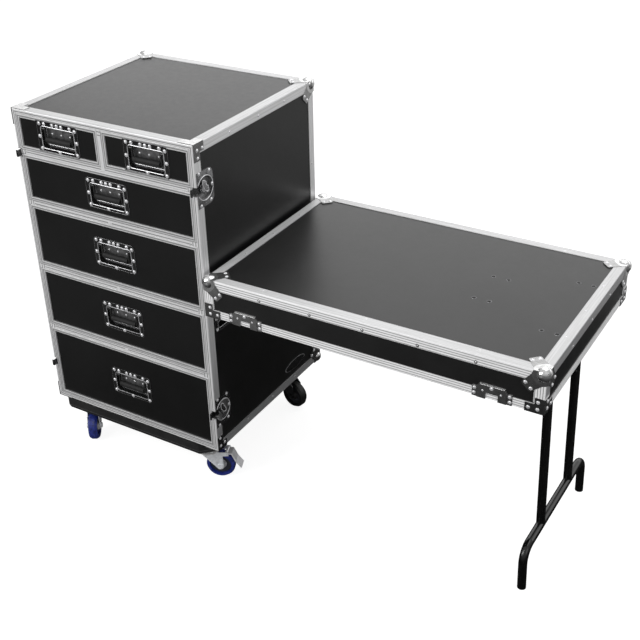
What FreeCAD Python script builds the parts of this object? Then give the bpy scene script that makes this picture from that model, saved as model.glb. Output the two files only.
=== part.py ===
"""Upright drawer flight case with its front lid set up beside it as a table on fold-out legs.

The case stands on a board with four swivel casters. Its six drawers open towards -Y, the
recessed latches and carrying handles are on its sides, and the lid hangs on a hooked rail
on the +X side. Sizes are in millimetres. Everything is laid out from the middle of the
case's front plane at the bottom of its body, and each piece is then moved so that the
origin lies on the floor under the middle of the whole.
"""
import FreeCAD, Part
import math
import os

V = FreeCAD.Vector

# Case body, outside of its edging
CASE_W = 700.0
CASE_D = 660.0
CASE_H = 1076.0
PANEL_T = 9.5            # laminated plywood
EDGE_T = 2.0             # aluminium edging
EDGE_W = 32.0            # flange of the corner angles
EDGE_R = 4.0             # rounding along the corner angles
RIM_W = 30.0             # outer flange of the rim channel
RIM_LIP = 12.0           # inner flange of the rim channel
FACE_W = PANEL_T + 2 * EDGE_T

# Lid, used as a table
LID_T = 129.0
LID_D = 700.0            # across, along Y
LID_GAP = 12.0           # between the case's side and the lid's near end
LID_AHEAD = 19.0         # lid's front ahead of the case's front plane
TABLE_TOP_Z = 664.0      # above the bottom of the case body
LID_LIP_W = 28.0

# Drawer bays, clear heights between the shelves' front channels, top row first
TOP_BAY_H = 120.5
SECOND_BAY_H = 161.5
MIDDLE_BAY_H = 219.6     # two rows alike; the bottom bay takes the rest

# Drawers
FRONT_GAP = 1.0
TRIM_W = 12.5
TRIM_PROUD = 5.0         # the panel lies this far behind the trim's face
TRIM_SKIRT_T = 1.5
TRIM_SKIRT_D = 14.0
TRIM_R = 2.5
TRIM_INNER_R = 1.0
BOX_D = 560.0
BOX_SIDE_T = 9.5
BOX_BOTTOM_T = 6.0
BOX_RISE = 13.0          # from the front's lower edge to the box's
BOX_DROP = 20.0          # from the front's upper edge to the box's
DRAWER_TRAVEL = 400.0

# Two-member drawer runners
RUNNER_GAP = 12.7
RUNNER_H = 35.0
RUNNER_T = 1.5
RUNNER_LIP = 9.5
RUNNER_L = 550.0
RUNNER_RISE = 18.0       # from the box's lower edge to the runner's
RUNNER_PLAY = 0.3

# Recessed handles
DISH_W = 166.0
DISH_H = 100.0
DISH_T = 1.5
DISH_R = 11.0
POCKET_W = 132.0
POCKET_H = 70.0
POCKET_DROP = 3.5        # pocket's middle below the flange's
POCKET_D = 14.0
POCKET_DRAFT = 4.0
POCKET_R = 9.0
POCKET_WALL = 1.2
BAIL_R = 4.0
BAIL_ARM_U = 54.0        # arm from the middle of the handle
BAIL_PIVOT_V = 23.0
BAIL_PIVOT_W = -3.0
BAIL_GRIP_V = -11.0
GRIP_R = 9.0
GRIP_L = 100.0
BEARING_T = 6.0
BEARING_H = 12.0
FIT = 0.05               # radial play of a pin in its hole

SIDE_HANDLE_Y = 120.0
SIDE_HANDLE_Z = 488.0

# Recessed twist latches
LATCH_INSET = 145.0      # from the case's top and bottom to a latch's middle
LATCH_H = 112.0
LATCH_FRONT = 3.0        # front edge of the latch plate behind the case's front plane
LATCH_BACK = 84.0        # rear edge of the latch plate
LATCH_Y = 44.0           # rotor's axis
LATCH_ROUND = 22.0
CUP_R = 36.0
CUP_D = 10.6             # from the panel's face to the cup's floor
SLOT_HALF = 13.0         # half the hook's channel
ROTOR_R = 17.0
ROTOR_T = 2.8
ROTOR_PIN_R = 4.0
CRANK_R = 8.0            # hook stud from the rotor's axis
STUD_R = 3.0
HOOK_T = 2.2
HOOK_HALF = 11.0
HOOK_HEAD_HALF = 16.0
HOOK_OUT = 15.0          # hook's tip ahead of the case's front plane
HOOK_TAIL = 52.0
WING_TWIST = 30.0
WING_HALF = 27.0
WING_REACH = 28.0
WING_T = 2.2
WING_OFFSET = 11.0       # hinge from the rotor's axis
WING_PIN_R = 1.5
WING_KNUCKLE_R = 2.8
PLAY = 0.3               # between plates that slide on each other

# Board and casters
BOARD_T = 45.0
BOARD_INSET = 38.0       # board's sides inside the case's
BOARD_BACK = 40.0        # board's rear inside the case's
BOARD_CHAMFER = 46.0     # only the front corner on the right is cut
BEVEL_H = 13.0
BEVEL_W = 4.0
WHEEL_R = 50.0
WHEEL_W = 32.0
HUB_R = 19.0
HUB_W = 38.0
AXLE_R = 6.0
CASTER_H = 120.0
CASTER_X = 8.0           # middle of the casters from the middle of the case
CASTER_INSET_X = 54.0    # swivel axis from the board's edges
CASTER_INSET_Y = 60.0
TRAIL = 37.0
PLATE_L = 102.0
PLATE_W = 84.0
PLATE_T = 4.0
PLATE_CUT = 24.0
PLATE_BOLTS_X = 60.0
PLATE_BOLTS_Y = 58.0
PLATE_BOLT_R = 4.5
RACE_R = 28.0
RACE_T = 3.0
CROWN_R = 30.0
CROWN_T = 5.0
FORK_T = 3.0
FORK_HALF = 22.5
PEDAL_X = 61.0           # pedal's pin from the swivel axis
PEDAL_DROP = 17.0        # and below the board
SWIVELS = {"fl": -58.0, "fr": 23.5, "rl": 200.0, "rr": -11.0}
BRAKED = ("fr", "rl")

# Table rail on the case's side
RAIL_L = 230.0
RAIL_T = 3.0
RAIL_H = 52.0
RAIL_HOOK = 21.0
RAIL_PLAY = 1.0

# Folding legs under the lid
LEG_R = 13.5
LEG_X = 1007.0           # pivot from the lid's near end
LEG_SPREAD = 240.0       # between the two uprights
LEG_PIVOT_DROP = 24.5    # pivot below the lid's inside face
LEG_LEAN = 2.0
FOOT_SPREAD = 520.0
CROSSBAR_Z = 138.0       # its centre line above the floor
BEND_R = 48.0
LEG_BOLT_R = 5.0
LEG_STUB = 14.0
LEG_PLATE_OUT = 45.0     # bracket's plate beyond the upright, outwards
BRACE_ANCHOR = 237.0     # bolt on the upright from the pivot

# Two-link brace
BRACE_X = 776.5
BRACE_DROP = 18.5
BRACE_UPPER_L = 167.4
BRACE_LOWER_L = 174.2
BRACE_W = 16.0
BRACE_T = 4.0
BRACE_ROD_R = 5.0
BRACE_UPPER_HALF = 60.0
BRACE_SIDE_PLAY = 0.5
BRACKET_T = 2.5

# Corner hardware
BALL_R = 22.0
BALL_PROUD = 9.5
CORNER_ROOT = 38.0       # along the edges
CORNER_REACH = 67.0      # of the slanting lobes
HARDWARE_T = 1.5
BRACE_PLATE_L = 54.0     # along the rim
BRACE_PLATE_H = 48.0     # away from the rim
BRACE_PLATE_W = 27.5
KEEPER_L = 114.0
KEEPER_H = 45.0
KEEPER_END_H = 32.0
KEEPER_T = 1.5
KEEPER_PROUD = 2.0
WINDOW_W = 35.0
WINDOW_H = 20.0

# Derived places
SIDE_X = CASE_W / 2
FACE_X = SIDE_X - EDGE_T                  # outer face of the side panels
INNER_X = FACE_X - PANEL_T
INNER_BACK = CASE_D - EDGE_T - PANEL_T
FLOOR_Z = -(BOARD_T + CASTER_H)
WHEEL_Z = FLOOR_Z + WHEEL_R
LID_L = CASE_H
LID_X = SIDE_X + LID_GAP
LID_Y = -LID_AHEAD
LID_BOTTOM_Z = TABLE_TOP_Z - LID_T
LID_INNER_Z = TABLE_TOP_Z - EDGE_T - PANEL_T
LID_MID_Y = LID_Y + LID_D / 2
LEG_PIVOT = V(LID_X + LEG_X, LID_MID_Y, LID_INNER_Z - LEG_PIVOT_DROP)
BRACE_PIVOT = V(LID_X + BRACE_X, LID_MID_Y, LID_INNER_Z - BRACE_DROP)
LATCH_ZS = {"l": LATCH_INSET, "u": CASE_H - LATCH_INSET}
CUP_FLOOR_X = FACE_X - CUP_D
HOOK_X = CUP_FLOOR_X + PLAY
ROTOR_X = HOOK_X + HOOK_T + PLAY
WING_X = ROTOR_X + ROTOR_T + PLAY + WING_KNUCKLE_R
BOARD_HALF = SIDE_X - BOARD_INSET
BOARD_D = CASE_D - BOARD_BACK
SWIVEL_X = BOARD_HALF - CASTER_INSET_X
SWIVEL_Y = (CASTER_INSET_Y, BOARD_D - CASTER_INSET_Y)
PLATE_Z = -BOARD_T - PLATE_T
CROWN_TOP_Z = PLATE_Z - RACE_T - PLAY
CROWN_LOW_Z = CROWN_TOP_Z - CROWN_T
PEDAL_Z = -BOARD_T - PEDAL_DROP
ORIGIN = V((LID_X + LID_L + BALL_PROUD - SIDE_X - BALL_PROUD) / 2,
           (min(LID_Y, 0) + max(LID_Y + LID_D, CASE_D)) / 2, FLOOR_Z)


def box(x0, x1, y0, y1, z0, z1):
    """A block between two corners."""
    return Part.makeBox(x1 - x0, y1 - y0, z1 - z0, V(x0, y0, z0))


def rod(start, end, radius):
    """A cylinder from one point to another."""
    axis = end.sub(start)
    return Part.makeCylinder(radius, axis.Length, start, axis)


def prism(points, sweep):
    """A closed polygon swept along a vector."""
    return Part.Face(Part.makePolygon(points + points[:1])).extrude(sweep)


def fuse(shapes):
    """Several solids made into one, with merged faces."""
    whole = shapes[0]
    for shape in shapes[1:]:
        whole = whole.fuse(shape)
    return whole.removeSplitter()


def mirrored(shape):
    """The same piece on the other side of the case."""
    return shape.mirror(V(0, 0, 0), V(1, 0, 0))


def axes_matrix(at, u, v, w):
    """Frame at a point with its x, y and z along u, v and w."""
    return FreeCAD.Matrix(u.x, v.x, w.x, at.x, u.y, v.y, w.y, at.y, u.z, v.z, w.z, at.z, 0, 0, 0, 1)


def placed(shape, at, u, v):
    """A piece drawn in u, v and outward w, set on a face of the case."""
    copy = shape.copy()
    copy.Placement = FreeCAD.Placement(axes_matrix(at, u, v, u.cross(v))).multiply(copy.Placement)
    return copy


def turned(shape, at, axis, degrees):
    """A copy turned about an axis through a point."""
    copy = shape.copy()
    copy.rotate(at, axis, degrees)
    return copy


def moved(shape, by):
    """A copy shifted by a vector."""
    copy = shape.copy()
    copy.translate(by)
    return copy


def rounded_outline(half_w, half_h, r, w, mid=0.0):
    """A rectangle with round corners in the plane w, as one closed wire."""
    c = r * (1 - math.sqrt(0.5))
    edges = []
    quarter = [(1, 1), (-1, 1), (-1, -1), (1, -1)]
    ends = []
    for sx, sy in quarter:
        a = V(sx * half_w, mid + sy * (half_h - r), w)
        b = V(sx * (half_w - c), mid + sy * (half_h - c), w)
        d = V(sx * (half_w - r), mid + sy * half_h, w)
        ends.append((a, b, d) if sx * sy > 0 else (d, b, a))
    for i, (a, b, d) in enumerate(ends):
        edges.append(Part.Arc(a, b, d).toShape())
        edges.append(Part.LineSegment(d, ends[(i + 1) % 4][0]).toShape())
    return Part.Wire(edges)


def cut_outline(half_w, half_h, cut, w, mid=0.0):
    """A rectangle with cut corners in the plane w, as one closed wire."""
    points = [V(half_w, mid + half_h - cut, w), V(half_w - cut, mid + half_h, w),
              V(cut - half_w, mid + half_h, w), V(-half_w, mid + half_h - cut, w),
              V(-half_w, mid + cut - half_h, w), V(cut - half_w, mid - half_h, w),
              V(half_w - cut, mid - half_h, w), V(half_w, mid + cut - half_h, w)]
    return Part.makePolygon(points + points[:1])


def edging(corner, run, a_dir, b_dir, length, a_w, b_w, lip=0.0, radius=EDGE_R):
    """One mitred edge extrusion along a box edge, from its corner.

    Its flanges lie on the two faces beside the edge, a_w and b_w wide. A channel has a lip,
    a second flange behind a_w that holds the panel's edge.
    """
    t = EDGE_T
    bend = radius * (1 - math.sqrt(0.5))
    outline = [Part.Arc(V(0, 0, radius), V(0, bend, bend), V(0, radius, 0)).toShape()]
    inner = [V(0, radius, 0), V(0, a_w, 0)]
    if lip:
        inner += [V(0, a_w, lip), V(0, a_w - t, lip), V(0, a_w - t, t), V(0, t, t)]
    else:
        inner += [V(0, a_w, t), V(0, t, t)]
    inner += [V(0, t, b_w), V(0, 0, b_w), V(0, 0, radius)]
    outline += [Part.LineSegment(p, q).toShape() for p, q in zip(inner, inner[1:])]
    bar = Part.Face(Part.Wire(outline)).extrude(V(length, 0, 0))
    far = max(a_w, b_w) + 1
    for x, s in ((0, 1), (length, -1)):
        ends = (V(x - s, -1, 0), V(x - s, far, 0), V(x + s * far, far, 0))
        bar = bar.cut(prism([V(p.x, p.y, -1) for p in ends], V(0, 0, far + 1)))
        bar = bar.cut(prism([V(p.x, -1, p.y) for p in ends], V(0, far + 1, 0)))
    if run.cross(a_dir).dot(b_dir) < 0:
        bar = moved(bar, V(-length, 0, 0))
        run = -run
    bar.Placement = FreeCAD.Placement(axes_matrix(corner, run, a_dir, b_dir)).multiply(bar.Placement)
    return bar


def bays():
    """Clear heights of the drawer rows, as (low, high), from the top row down."""
    heights = [TOP_BAY_H, SECOND_BAY_H, MIDDLE_BAY_H, MIDDLE_BAY_H]
    top = CASE_H - FACE_W
    rows = []
    for height in heights:
        rows.append((top - height, top))
        top -= height + FACE_W
    rows.append((FACE_W, top))
    return rows


def drawer_places():
    """Each drawer as (left, right, low, high) of its bay in the front plane."""
    rows = bays()
    side = SIDE_X - FACE_W
    half = FACE_W / 2
    top_row = [(-side, -half) + rows[0], (half, side) + rows[0]]
    return top_row + [(-side, side) + row for row in rows[1:]]


def runner_walls(place):
    """Inner faces of the case that a drawer's runners are fixed to."""
    left, right = place[0], place[1]
    wall_left = -INNER_X if left < -FACE_W else PANEL_T / 2
    wall_right = INNER_X if right > FACE_W else -PANEL_T / 2
    return wall_left, wall_right


def case_panels():
    """Plywood body: outer walls, shelves and the upright between the top drawers."""
    low, high = EDGE_T, CASE_H - EDGE_T
    back = CASE_D - EDGE_T
    bottom = box(-FACE_X, FACE_X, EDGE_T, back, low, low + PANEL_T)
    top = box(-FACE_X, FACE_X, EDGE_T, back, high - PANEL_T, high)
    side = box(INNER_X, FACE_X, EDGE_T, back, low + PANEL_T, high - PANEL_T)
    for z in LATCH_ZS.values():
        side = side.cut(latch_hole(z))
    hole = handle_hole(PANEL_T)
    side = side.cut(placed(hole, V(FACE_X, SIDE_HANDLE_Y, SIDE_HANDLE_Z), V(0, 1, 0), V(0, 0, 1)))
    rear = box(-INNER_X, INNER_X, INNER_BACK, back, low + PANEL_T, high - PANEL_T)
    panels = [bottom, top, side, mirrored(side), rear]
    lip_x = SIDE_X - FACE_W
    rows = bays()
    for upper in rows[:-1]:
        z = upper[0] - FACE_W / 2
        shelf = box(-INNER_X, INNER_X, RIM_LIP, INNER_BACK, z - PANEL_T / 2, z + PANEL_T / 2)
        tongue = box(-lip_x, lip_x, EDGE_T, RIM_LIP, z - PANEL_T / 2, z + PANEL_T / 2)
        panels.append(clear_of_latches(fuse([shelf, tongue])))
    bay_low, bay_high = rows[0]
    divider = box(-PANEL_T / 2, PANEL_T / 2, RIM_LIP, INNER_BACK, bay_low - EDGE_T, bay_high + EDGE_T)
    tongue = box(-PANEL_T / 2, PANEL_T / 2, EDGE_T, RIM_LIP, bay_low, bay_high)
    panels.append(fuse([divider, tongue]))
    return panels


def case_edging():
    """Aluminium corner angles, the channel round the front and the channels on the shelves."""
    x, d, h = SIDE_X, CASE_D, CASE_H
    bars = []
    for sz in (0, 1):
        up = V(0, 0, 1 - 2 * sz)
        bars.append(edging(V(-x, 0, sz * h), V(1, 0, 0), up, V(0, 1, 0), CASE_W, FACE_W, RIM_W, RIM_LIP))
        bars.append(edging(V(-x, d, sz * h), V(1, 0, 0), up, V(0, -1, 0), CASE_W, EDGE_W, EDGE_W))
        for sx in (-1, 1):
            bars.append(edging(V(sx * x, 0, sz * h), V(0, 1, 0), V(-sx, 0, 0), up, d, EDGE_W, EDGE_W))
    for sx in (-1, 1):
        rim = edging(V(sx * x, 0, 0), V(0, 0, 1), V(-sx, 0, 0), V(0, 1, 0), h, FACE_W, RIM_W, RIM_LIP)
        half = LATCH_H / 2 + PLAY
        for z in LATCH_ZS.values():
            notch = box(FACE_X - 1, x + 1, LATCH_FRONT, RIM_W + 1, z - half, z + half)
            slot = latch_hole(z)
            for tool in (notch, slot):
                rim = rim.cut(tool if sx > 0 else mirrored(tool))
        bars.append(rim)
        bars.append(edging(V(sx * x, d, 0), V(0, 0, 1), V(-sx, 0, 0), V(0, -1, 0), h, EDGE_W, EDGE_W))
    lip_x = x - FACE_W
    rows = bays()
    for upper in rows[:-1]:
        z = upper[0] - FACE_W / 2
        bars.append(clear_of_latches(channel(2 * lip_x, V(-lip_x, 0, z), V(1, 0, 0), V(0, 0, 1))))
    bay_low, bay_high = rows[0]
    bars.append(channel(bay_high - bay_low, V(0, 0, bay_low), V(0, 0, 1), V(1, 0, 0)))
    return bars


def channel(length, start, run, across):
    """A front channel pushed over the edge of a shelf, centred on it."""
    half, t = FACE_W / 2, EDGE_T
    section = [(-half, 0), (half, 0), (half, RIM_LIP), (half - t, RIM_LIP), (half - t, t),
               (t - half, t), (t - half, RIM_LIP), (-half, RIM_LIP)]
    points = [start.add(across * a).add(V(0, d, 0)) for a, d in section]
    return prism(points, run * length)


def latch_slot(z):
    """Cut-out for the channel that the hook runs in, from the cup out through the front."""
    wall = POCKET_WALL + PLAY
    return box(CUP_FLOOR_X - wall, SIDE_X + 1, -1, LATCH_Y, z - SLOT_HALF - wall, z + SLOT_HALF + wall)


def latch_hole(z):
    """Cut-out for a latch in the side of the case."""
    wall = POCKET_WALL + PLAY
    cup = rod(V(CUP_FLOOR_X - wall, LATCH_Y, z), V(SIDE_X + 1, LATCH_Y, z), CUP_R + wall)
    return cup.fuse(latch_slot(z))


def clear_of_latches(shape):
    """A piece of the case's inside with its ends cut back beside the latches."""
    for z in LATCH_ZS.values():
        hole = latch_hole(z)
        shape = shape.cut(hole).cut(mirrored(hole))
    return shape


def latch_dish(z):
    """Pressed latch plate on the right side: flange, round cup, hook channel and rotor pin."""
    half = LATCH_H / 2
    r = LATCH_ROUND
    bend = r * (1 - math.sqrt(0.5))
    x, front, back = FACE_X, LATCH_FRONT, LATCH_BACK
    edges = [Part.LineSegment(V(x, front, z - half), V(x, back - r, z - half)).toShape(),
             Part.Arc(V(x, back - r, z - half), V(x, back - bend, z - half + bend),
                      V(x, back, z - half + r)).toShape(),
             Part.LineSegment(V(x, back, z - half + r), V(x, back, z + half - r)).toShape(),
             Part.Arc(V(x, back, z + half - r), V(x, back - bend, z + half - bend),
                      V(x, back - r, z + half)).toShape(),
             Part.LineSegment(V(x, back - r, z + half), V(x, front, z + half)).toShape(),
             Part.LineSegment(V(x, front, z + half), V(x, front, z - half)).toShape()]
    flange = Part.Face(Part.Wire(edges)).extrude(V(DISH_T, 0, 0))
    floor = CUP_FLOOR_X - POCKET_WALL
    wall = POCKET_WALL
    outer = Part.makeCylinder(CUP_R + wall, FACE_X - floor, V(floor, LATCH_Y, z), V(1, 0, 0))
    trough = box(floor, FACE_X, 0, LATCH_Y, z - SLOT_HALF - wall, z + SLOT_HALF + wall)
    inner = Part.makeCylinder(CUP_R, FACE_X + 9 - CUP_FLOOR_X, V(CUP_FLOOR_X, LATCH_Y, z), V(1, 0, 0))
    way = box(CUP_FLOOR_X, FACE_X + 9, -1, LATCH_Y, z - SLOT_HALF, z + SLOT_HALF)
    dish = flange.fuse([outer, trough]).cut(inner).cut(way)
    pin_top = ROTOR_X + ROTOR_T + PLAY
    pin = rod(V(floor, LATCH_Y, z), V(pin_top, LATCH_Y, z), ROTOR_PIN_R)
    head = rod(V(pin_top, LATCH_Y, z), V(pin_top + 1, LATCH_Y, z), ROTOR_PIN_R + 2)
    return dish.fuse([pin, head]).removeSplitter()


def latch_rotor(z):
    """Round rotor with its hook stud below and the wing's hinge pin on two lugs above."""
    axis = V(1, 0, 0)
    centre = V(ROTOR_X, LATCH_Y, z)
    disc = Part.makeCylinder(ROTOR_R, ROTOR_T, centre, axis)
    stud = rod(V(HOOK_X + PLAY, LATCH_Y - CRANK_R, z), V(ROTOR_X, LATCH_Y - CRANK_R, z), STUD_R)
    lug_in = 9.0
    lug_out = 12.5
    hinge_y = LATCH_Y - WING_OFFSET
    top = ROTOR_X + ROTOR_T
    lugs = []
    for s in (-1, 1):
        low, high = sorted((z + s * lug_in, z + s * lug_out))
        block = box(top, WING_X, hinge_y - WING_KNUCKLE_R, hinge_y + WING_KNUCKLE_R, low, high)
        cap = rod(V(WING_X, hinge_y, low), V(WING_X, hinge_y, high), WING_KNUCKLE_R)
        lugs.append(block.fuse(cap))
    pin = rod(V(WING_X, hinge_y, z - lug_in), V(WING_X, hinge_y, z + lug_in), WING_PIN_R)
    hinge = turned(fuse(lugs[:1] + [pin] + lugs[1:]), centre, axis, WING_TWIST)
    bore = rod(V(ROTOR_X - 1, LATCH_Y, z), V(ROTOR_X + ROTOR_T + 1, LATCH_Y, z), ROTOR_PIN_R + FIT)
    return disc.cut(bore).fuse([stud, hinge]).removeSplitter()


def latch_wing(z):
    """Two-lobed twist handle, folded flat into the cup on its hinge."""
    hinge_y = LATCH_Y - WING_OFFSET
    low = WING_X - WING_T / 2
    knuckle_half = 9.0 - PLAY
    waist = 10.0
    lobe = 11.0
    reach = hinge_y + WING_REACH
    points = [V(low, hinge_y, z - knuckle_half), V(low, hinge_y, z + knuckle_half),
              V(low, hinge_y + waist / 2, z + knuckle_half), V(low, hinge_y + waist, z + WING_HALF - 5),
              V(low, hinge_y + waist + 6, z + WING_HALF), V(low, reach - 7, z + WING_HALF - 3),
              V(low, reach, z + lobe), V(low, reach - 4, z), V(low, reach, z - lobe),
              V(low, reach - 7, z + 3 - WING_HALF), V(low, hinge_y + waist + 6, z - WING_HALF),
              V(low, hinge_y + waist, z + 5 - WING_HALF), V(low, hinge_y + waist / 2, z - knuckle_half)]
    plate = prism(points, V(WING_T, 0, 0))
    knuckle = rod(V(WING_X, hinge_y, z - knuckle_half), V(WING_X, hinge_y, z + knuckle_half), WING_KNUCKLE_R)
    bore = rod(V(WING_X, hinge_y, z - WING_HALF), V(WING_X, hinge_y, z + WING_HALF), WING_PIN_R + FIT)
    wing = plate.fuse(knuckle).cut(bore).removeSplitter()
    return turned(wing, V(WING_X, LATCH_Y, z), V(1, 0, 0), WING_TWIST)


def latch_hook(z):
    """Draw plate under the rotor, pushed out past the front, with its claw and cross-shaped slot."""
    stroke = 2 * CRANK_R
    slack = 0.21 * CRANK_R + 2 * PLAY
    low = HOOK_X
    shank = box(low, low + HOOK_T, -HOOK_OUT, 24, z - HOOK_HALF, z + HOOK_HALF)
    head = box(low, low + HOOK_T, 22, HOOK_TAIL, z - HOOK_HEAD_HALF, z + HOOK_HEAD_HALF)
    claw = box(low, low + 7, -HOOK_OUT, HOOK_T - HOOK_OUT, z - HOOK_HALF, z + HOOK_HALF)
    pin_half = ROTOR_PIN_R + PLAY
    long_slot = box(low - 1, low + 9, LATCH_Y - stroke - pin_half, LATCH_Y + pin_half,
                    z - pin_half, z + pin_half)
    stud_y = LATCH_Y - CRANK_R
    cross = CRANK_R + STUD_R + PLAY
    cross_slot = box(low - 1, low + 9, stud_y - STUD_R - slack, stud_y + STUD_R + slack,
                     z - cross, z + cross)
    return fuse([shank, head, claw]).cut(long_slot).cut(cross_slot)


def handle_hole(depth):
    """Cut-out for a handle's pocket, in u, v and w below the face."""
    half_w = POCKET_W / 2 + POCKET_WALL + PLAY
    half_h = POCKET_H / 2 + POCKET_WALL + PLAY
    outline = cut_outline(half_w, half_h, POCKET_R / 2, 1, -POCKET_DROP)
    return Part.Face(outline).extrude(V(0, 0, -depth - 2))


def handle_dish():
    """Handle dish in u, v, w: riveted flange, tapered pocket and the bail's two bearings."""
    flange = Part.Face(rounded_outline(DISH_W / 2, DISH_H / 2, DISH_R, 0)).extrude(V(0, 0, DISH_T))
    half_w, half_h = POCKET_W / 2, POCKET_H / 2
    wall = POCKET_WALL
    top = cut_outline(half_w + wall, half_h + wall, POCKET_R / 2, 0, -POCKET_DROP)
    base = cut_outline(half_w + wall - POCKET_DRAFT, half_h + wall - POCKET_DRAFT, POCKET_R / 2,
                       -POCKET_D - wall, -POCKET_DROP)
    shell = Part.makeLoft([top, base], True, True)
    slope = POCKET_DRAFT / POCKET_D
    mouth = rounded_outline(half_w + slope * DISH_T, half_h + slope * DISH_T, POCKET_R, DISH_T, -POCKET_DROP)
    floor = rounded_outline(half_w - POCKET_DRAFT, half_h - POCKET_DRAFT, POCKET_R, -POCKET_D, -POCKET_DROP)
    pocket = Part.makeLoft([mouth, floor], True, True)
    dish = flange.fuse(shell).cut(pocket)
    bearings = []
    for s in (-1, 1):
        u0, u1 = sorted((s * (half_w - BEARING_T), s * half_w))
        block = box(u0, u1, BAIL_PIVOT_V - BEARING_H / 2, BAIL_PIVOT_V + BEARING_H / 2, -POCKET_D, 0)
        bearings.append(block)
    dish = dish.fuse(bearings)
    reach = half_w - FIT
    bore = rod(V(-reach, BAIL_PIVOT_V, BAIL_PIVOT_W), V(reach, BAIL_PIVOT_V, BAIL_PIVOT_W), BAIL_R + FIT)
    return dish.cut(bore).removeSplitter()


def handle_bail():
    """Sprung bail in u, v, w: mitred wire with its grip, hanging in the pocket."""
    w = BAIL_PIVOT_W
    arm, top, low = BAIL_ARM_U, BAIL_PIVOT_V, BAIL_GRIP_V
    stub = POCKET_W / 2 - 2 * FIT - PLAY
    pieces = [mitred_rod(V(-arm, low, w), V(arm, low, w), V(1, 1, 0), V(-1, 1, 0), BAIL_R)]
    for s in (-1, 1):
        pieces.append(mitred_rod(V(s * arm, low, w), V(s * arm, top, w), V(s, 1, 0), V(-s, -1, 0), BAIL_R))
        pieces.append(mitred_rod(V(s * arm, top, w), V(s * stub, top, w), V(s, 1, 0), None, BAIL_R))
    wire = fuse(pieces)
    grip = rod(V(-GRIP_L / 2, low, w), V(GRIP_L / 2, low, w), GRIP_R)
    return wire.fuse(grip).removeSplitter()


def mitred_rod(start, end, start_cut, end_cut, radius):
    """A round rod with its ends cut off at the given diagonal planes."""
    axis = end.sub(start)
    unit = V(axis).normalize()
    reach = 2 * radius
    first = start.sub(unit * reach) if start_cut else start
    last = end.add(unit * reach) if end_cut else end
    bar = rod(first, last, radius)
    for point, normal in ((start, start_cut), (end, end_cut)):
        if normal is None:
            continue
        direction = V(normal).normalize()
        side = 1 if direction.dot(end.add(start) * 0.5 - point) > 0 else -1
        bar = bar.cut(half_space(point, direction * -side))
    return bar


def half_space(point, normal):
    """A large block that fills the side of a plane its normal points to."""
    size = 6 * DISH_W
    plane = Part.makePlane(size, size, V(-size / 2, -size / 2, 0))
    plane.Placement = FreeCAD.Placement(point, FreeCAD.Rotation(V(0, 0, 1), normal))
    return plane.extrude(V(normal).normalize() * size)


def drawer_front(place):
    """Outline of a drawer's front as (left, right, low, high)."""
    left, right, low, high = place
    return left + FRONT_GAP, right - FRONT_GAP, low + FRONT_GAP, high - FRONT_GAP


def drawer_middle(place):
    """Middle of a drawer's front panel, on its face."""
    return V((place[0] + place[1]) / 2, TRIM_PROUD, (place[2] + place[3]) / 2)


def drawer_box(place):
    """Plywood drawer: front panel with the handle's cut-out, two sides, back and bottom."""
    left, right, low, high = drawer_front(place)
    skirt = TRIM_SKIRT_T
    y = TRIM_PROUD + PANEL_T
    panel = box(left + skirt, right - skirt, TRIM_PROUD, y, low + skirt, high - skirt)
    hole = placed(handle_hole(PANEL_T), drawer_middle(place), V(1, 0, 0), V(0, 0, 1))
    wall_left, wall_right = runner_walls(place)
    x0, x1 = wall_left + RUNNER_GAP, wall_right - RUNNER_GAP
    z0, z1 = low + BOX_RISE, high - BOX_DROP
    t, rear = BOX_SIDE_T, y + BOX_D
    return [panel.cut(hole),
            box(x0, x0 + t, y, rear, z0, z1),
            box(x1 - t, x1, y, rear, z0, z1),
            box(x0 + t, x1 - t, rear - t, rear, z0, z1),
            box(x0 + t, x1 - t, y, rear - t, z0, z0 + BOX_BOTTOM_T)]


def drawer_trim(place):
    """Four mitred bars round a drawer's front, with the drawer's inner runner members."""
    left, right, low, high = drawer_front(place)
    pieces = [trim_bar(V(right, 0, low), V(-1, 0, 0), V(0, 0, 1), right - left),
              trim_bar(V(left, 0, high), V(1, 0, 0), V(0, 0, -1), right - left),
              trim_bar(V(left, 0, low), V(0, 0, 1), V(1, 0, 0), high - low),
              trim_bar(V(right, 0, high), V(0, 0, -1), V(-1, 0, 0), high - low)]
    middle = drawer_middle(place)
    half_w, half_h = DISH_W / 2 + PLAY, DISH_H / 2 + PLAY
    notch = box(middle.x - half_w, middle.x + half_w, -1, TRIM_PROUD, middle.z - half_h, middle.z + half_h)
    pieces = [bar.cut(notch) for bar in pieces]
    wall_left, wall_right = runner_walls(place)
    z0 = low + BOX_RISE + RUNNER_RISE + RUNNER_T + RUNNER_PLAY
    height = RUNNER_H - 2 * (RUNNER_T + RUNNER_PLAY)
    for wall, s in ((wall_left, 1), (wall_right, -1)):
        pieces.append(runner(wall + s * RUNNER_GAP, -s, z0, height))
    return pieces


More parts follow.
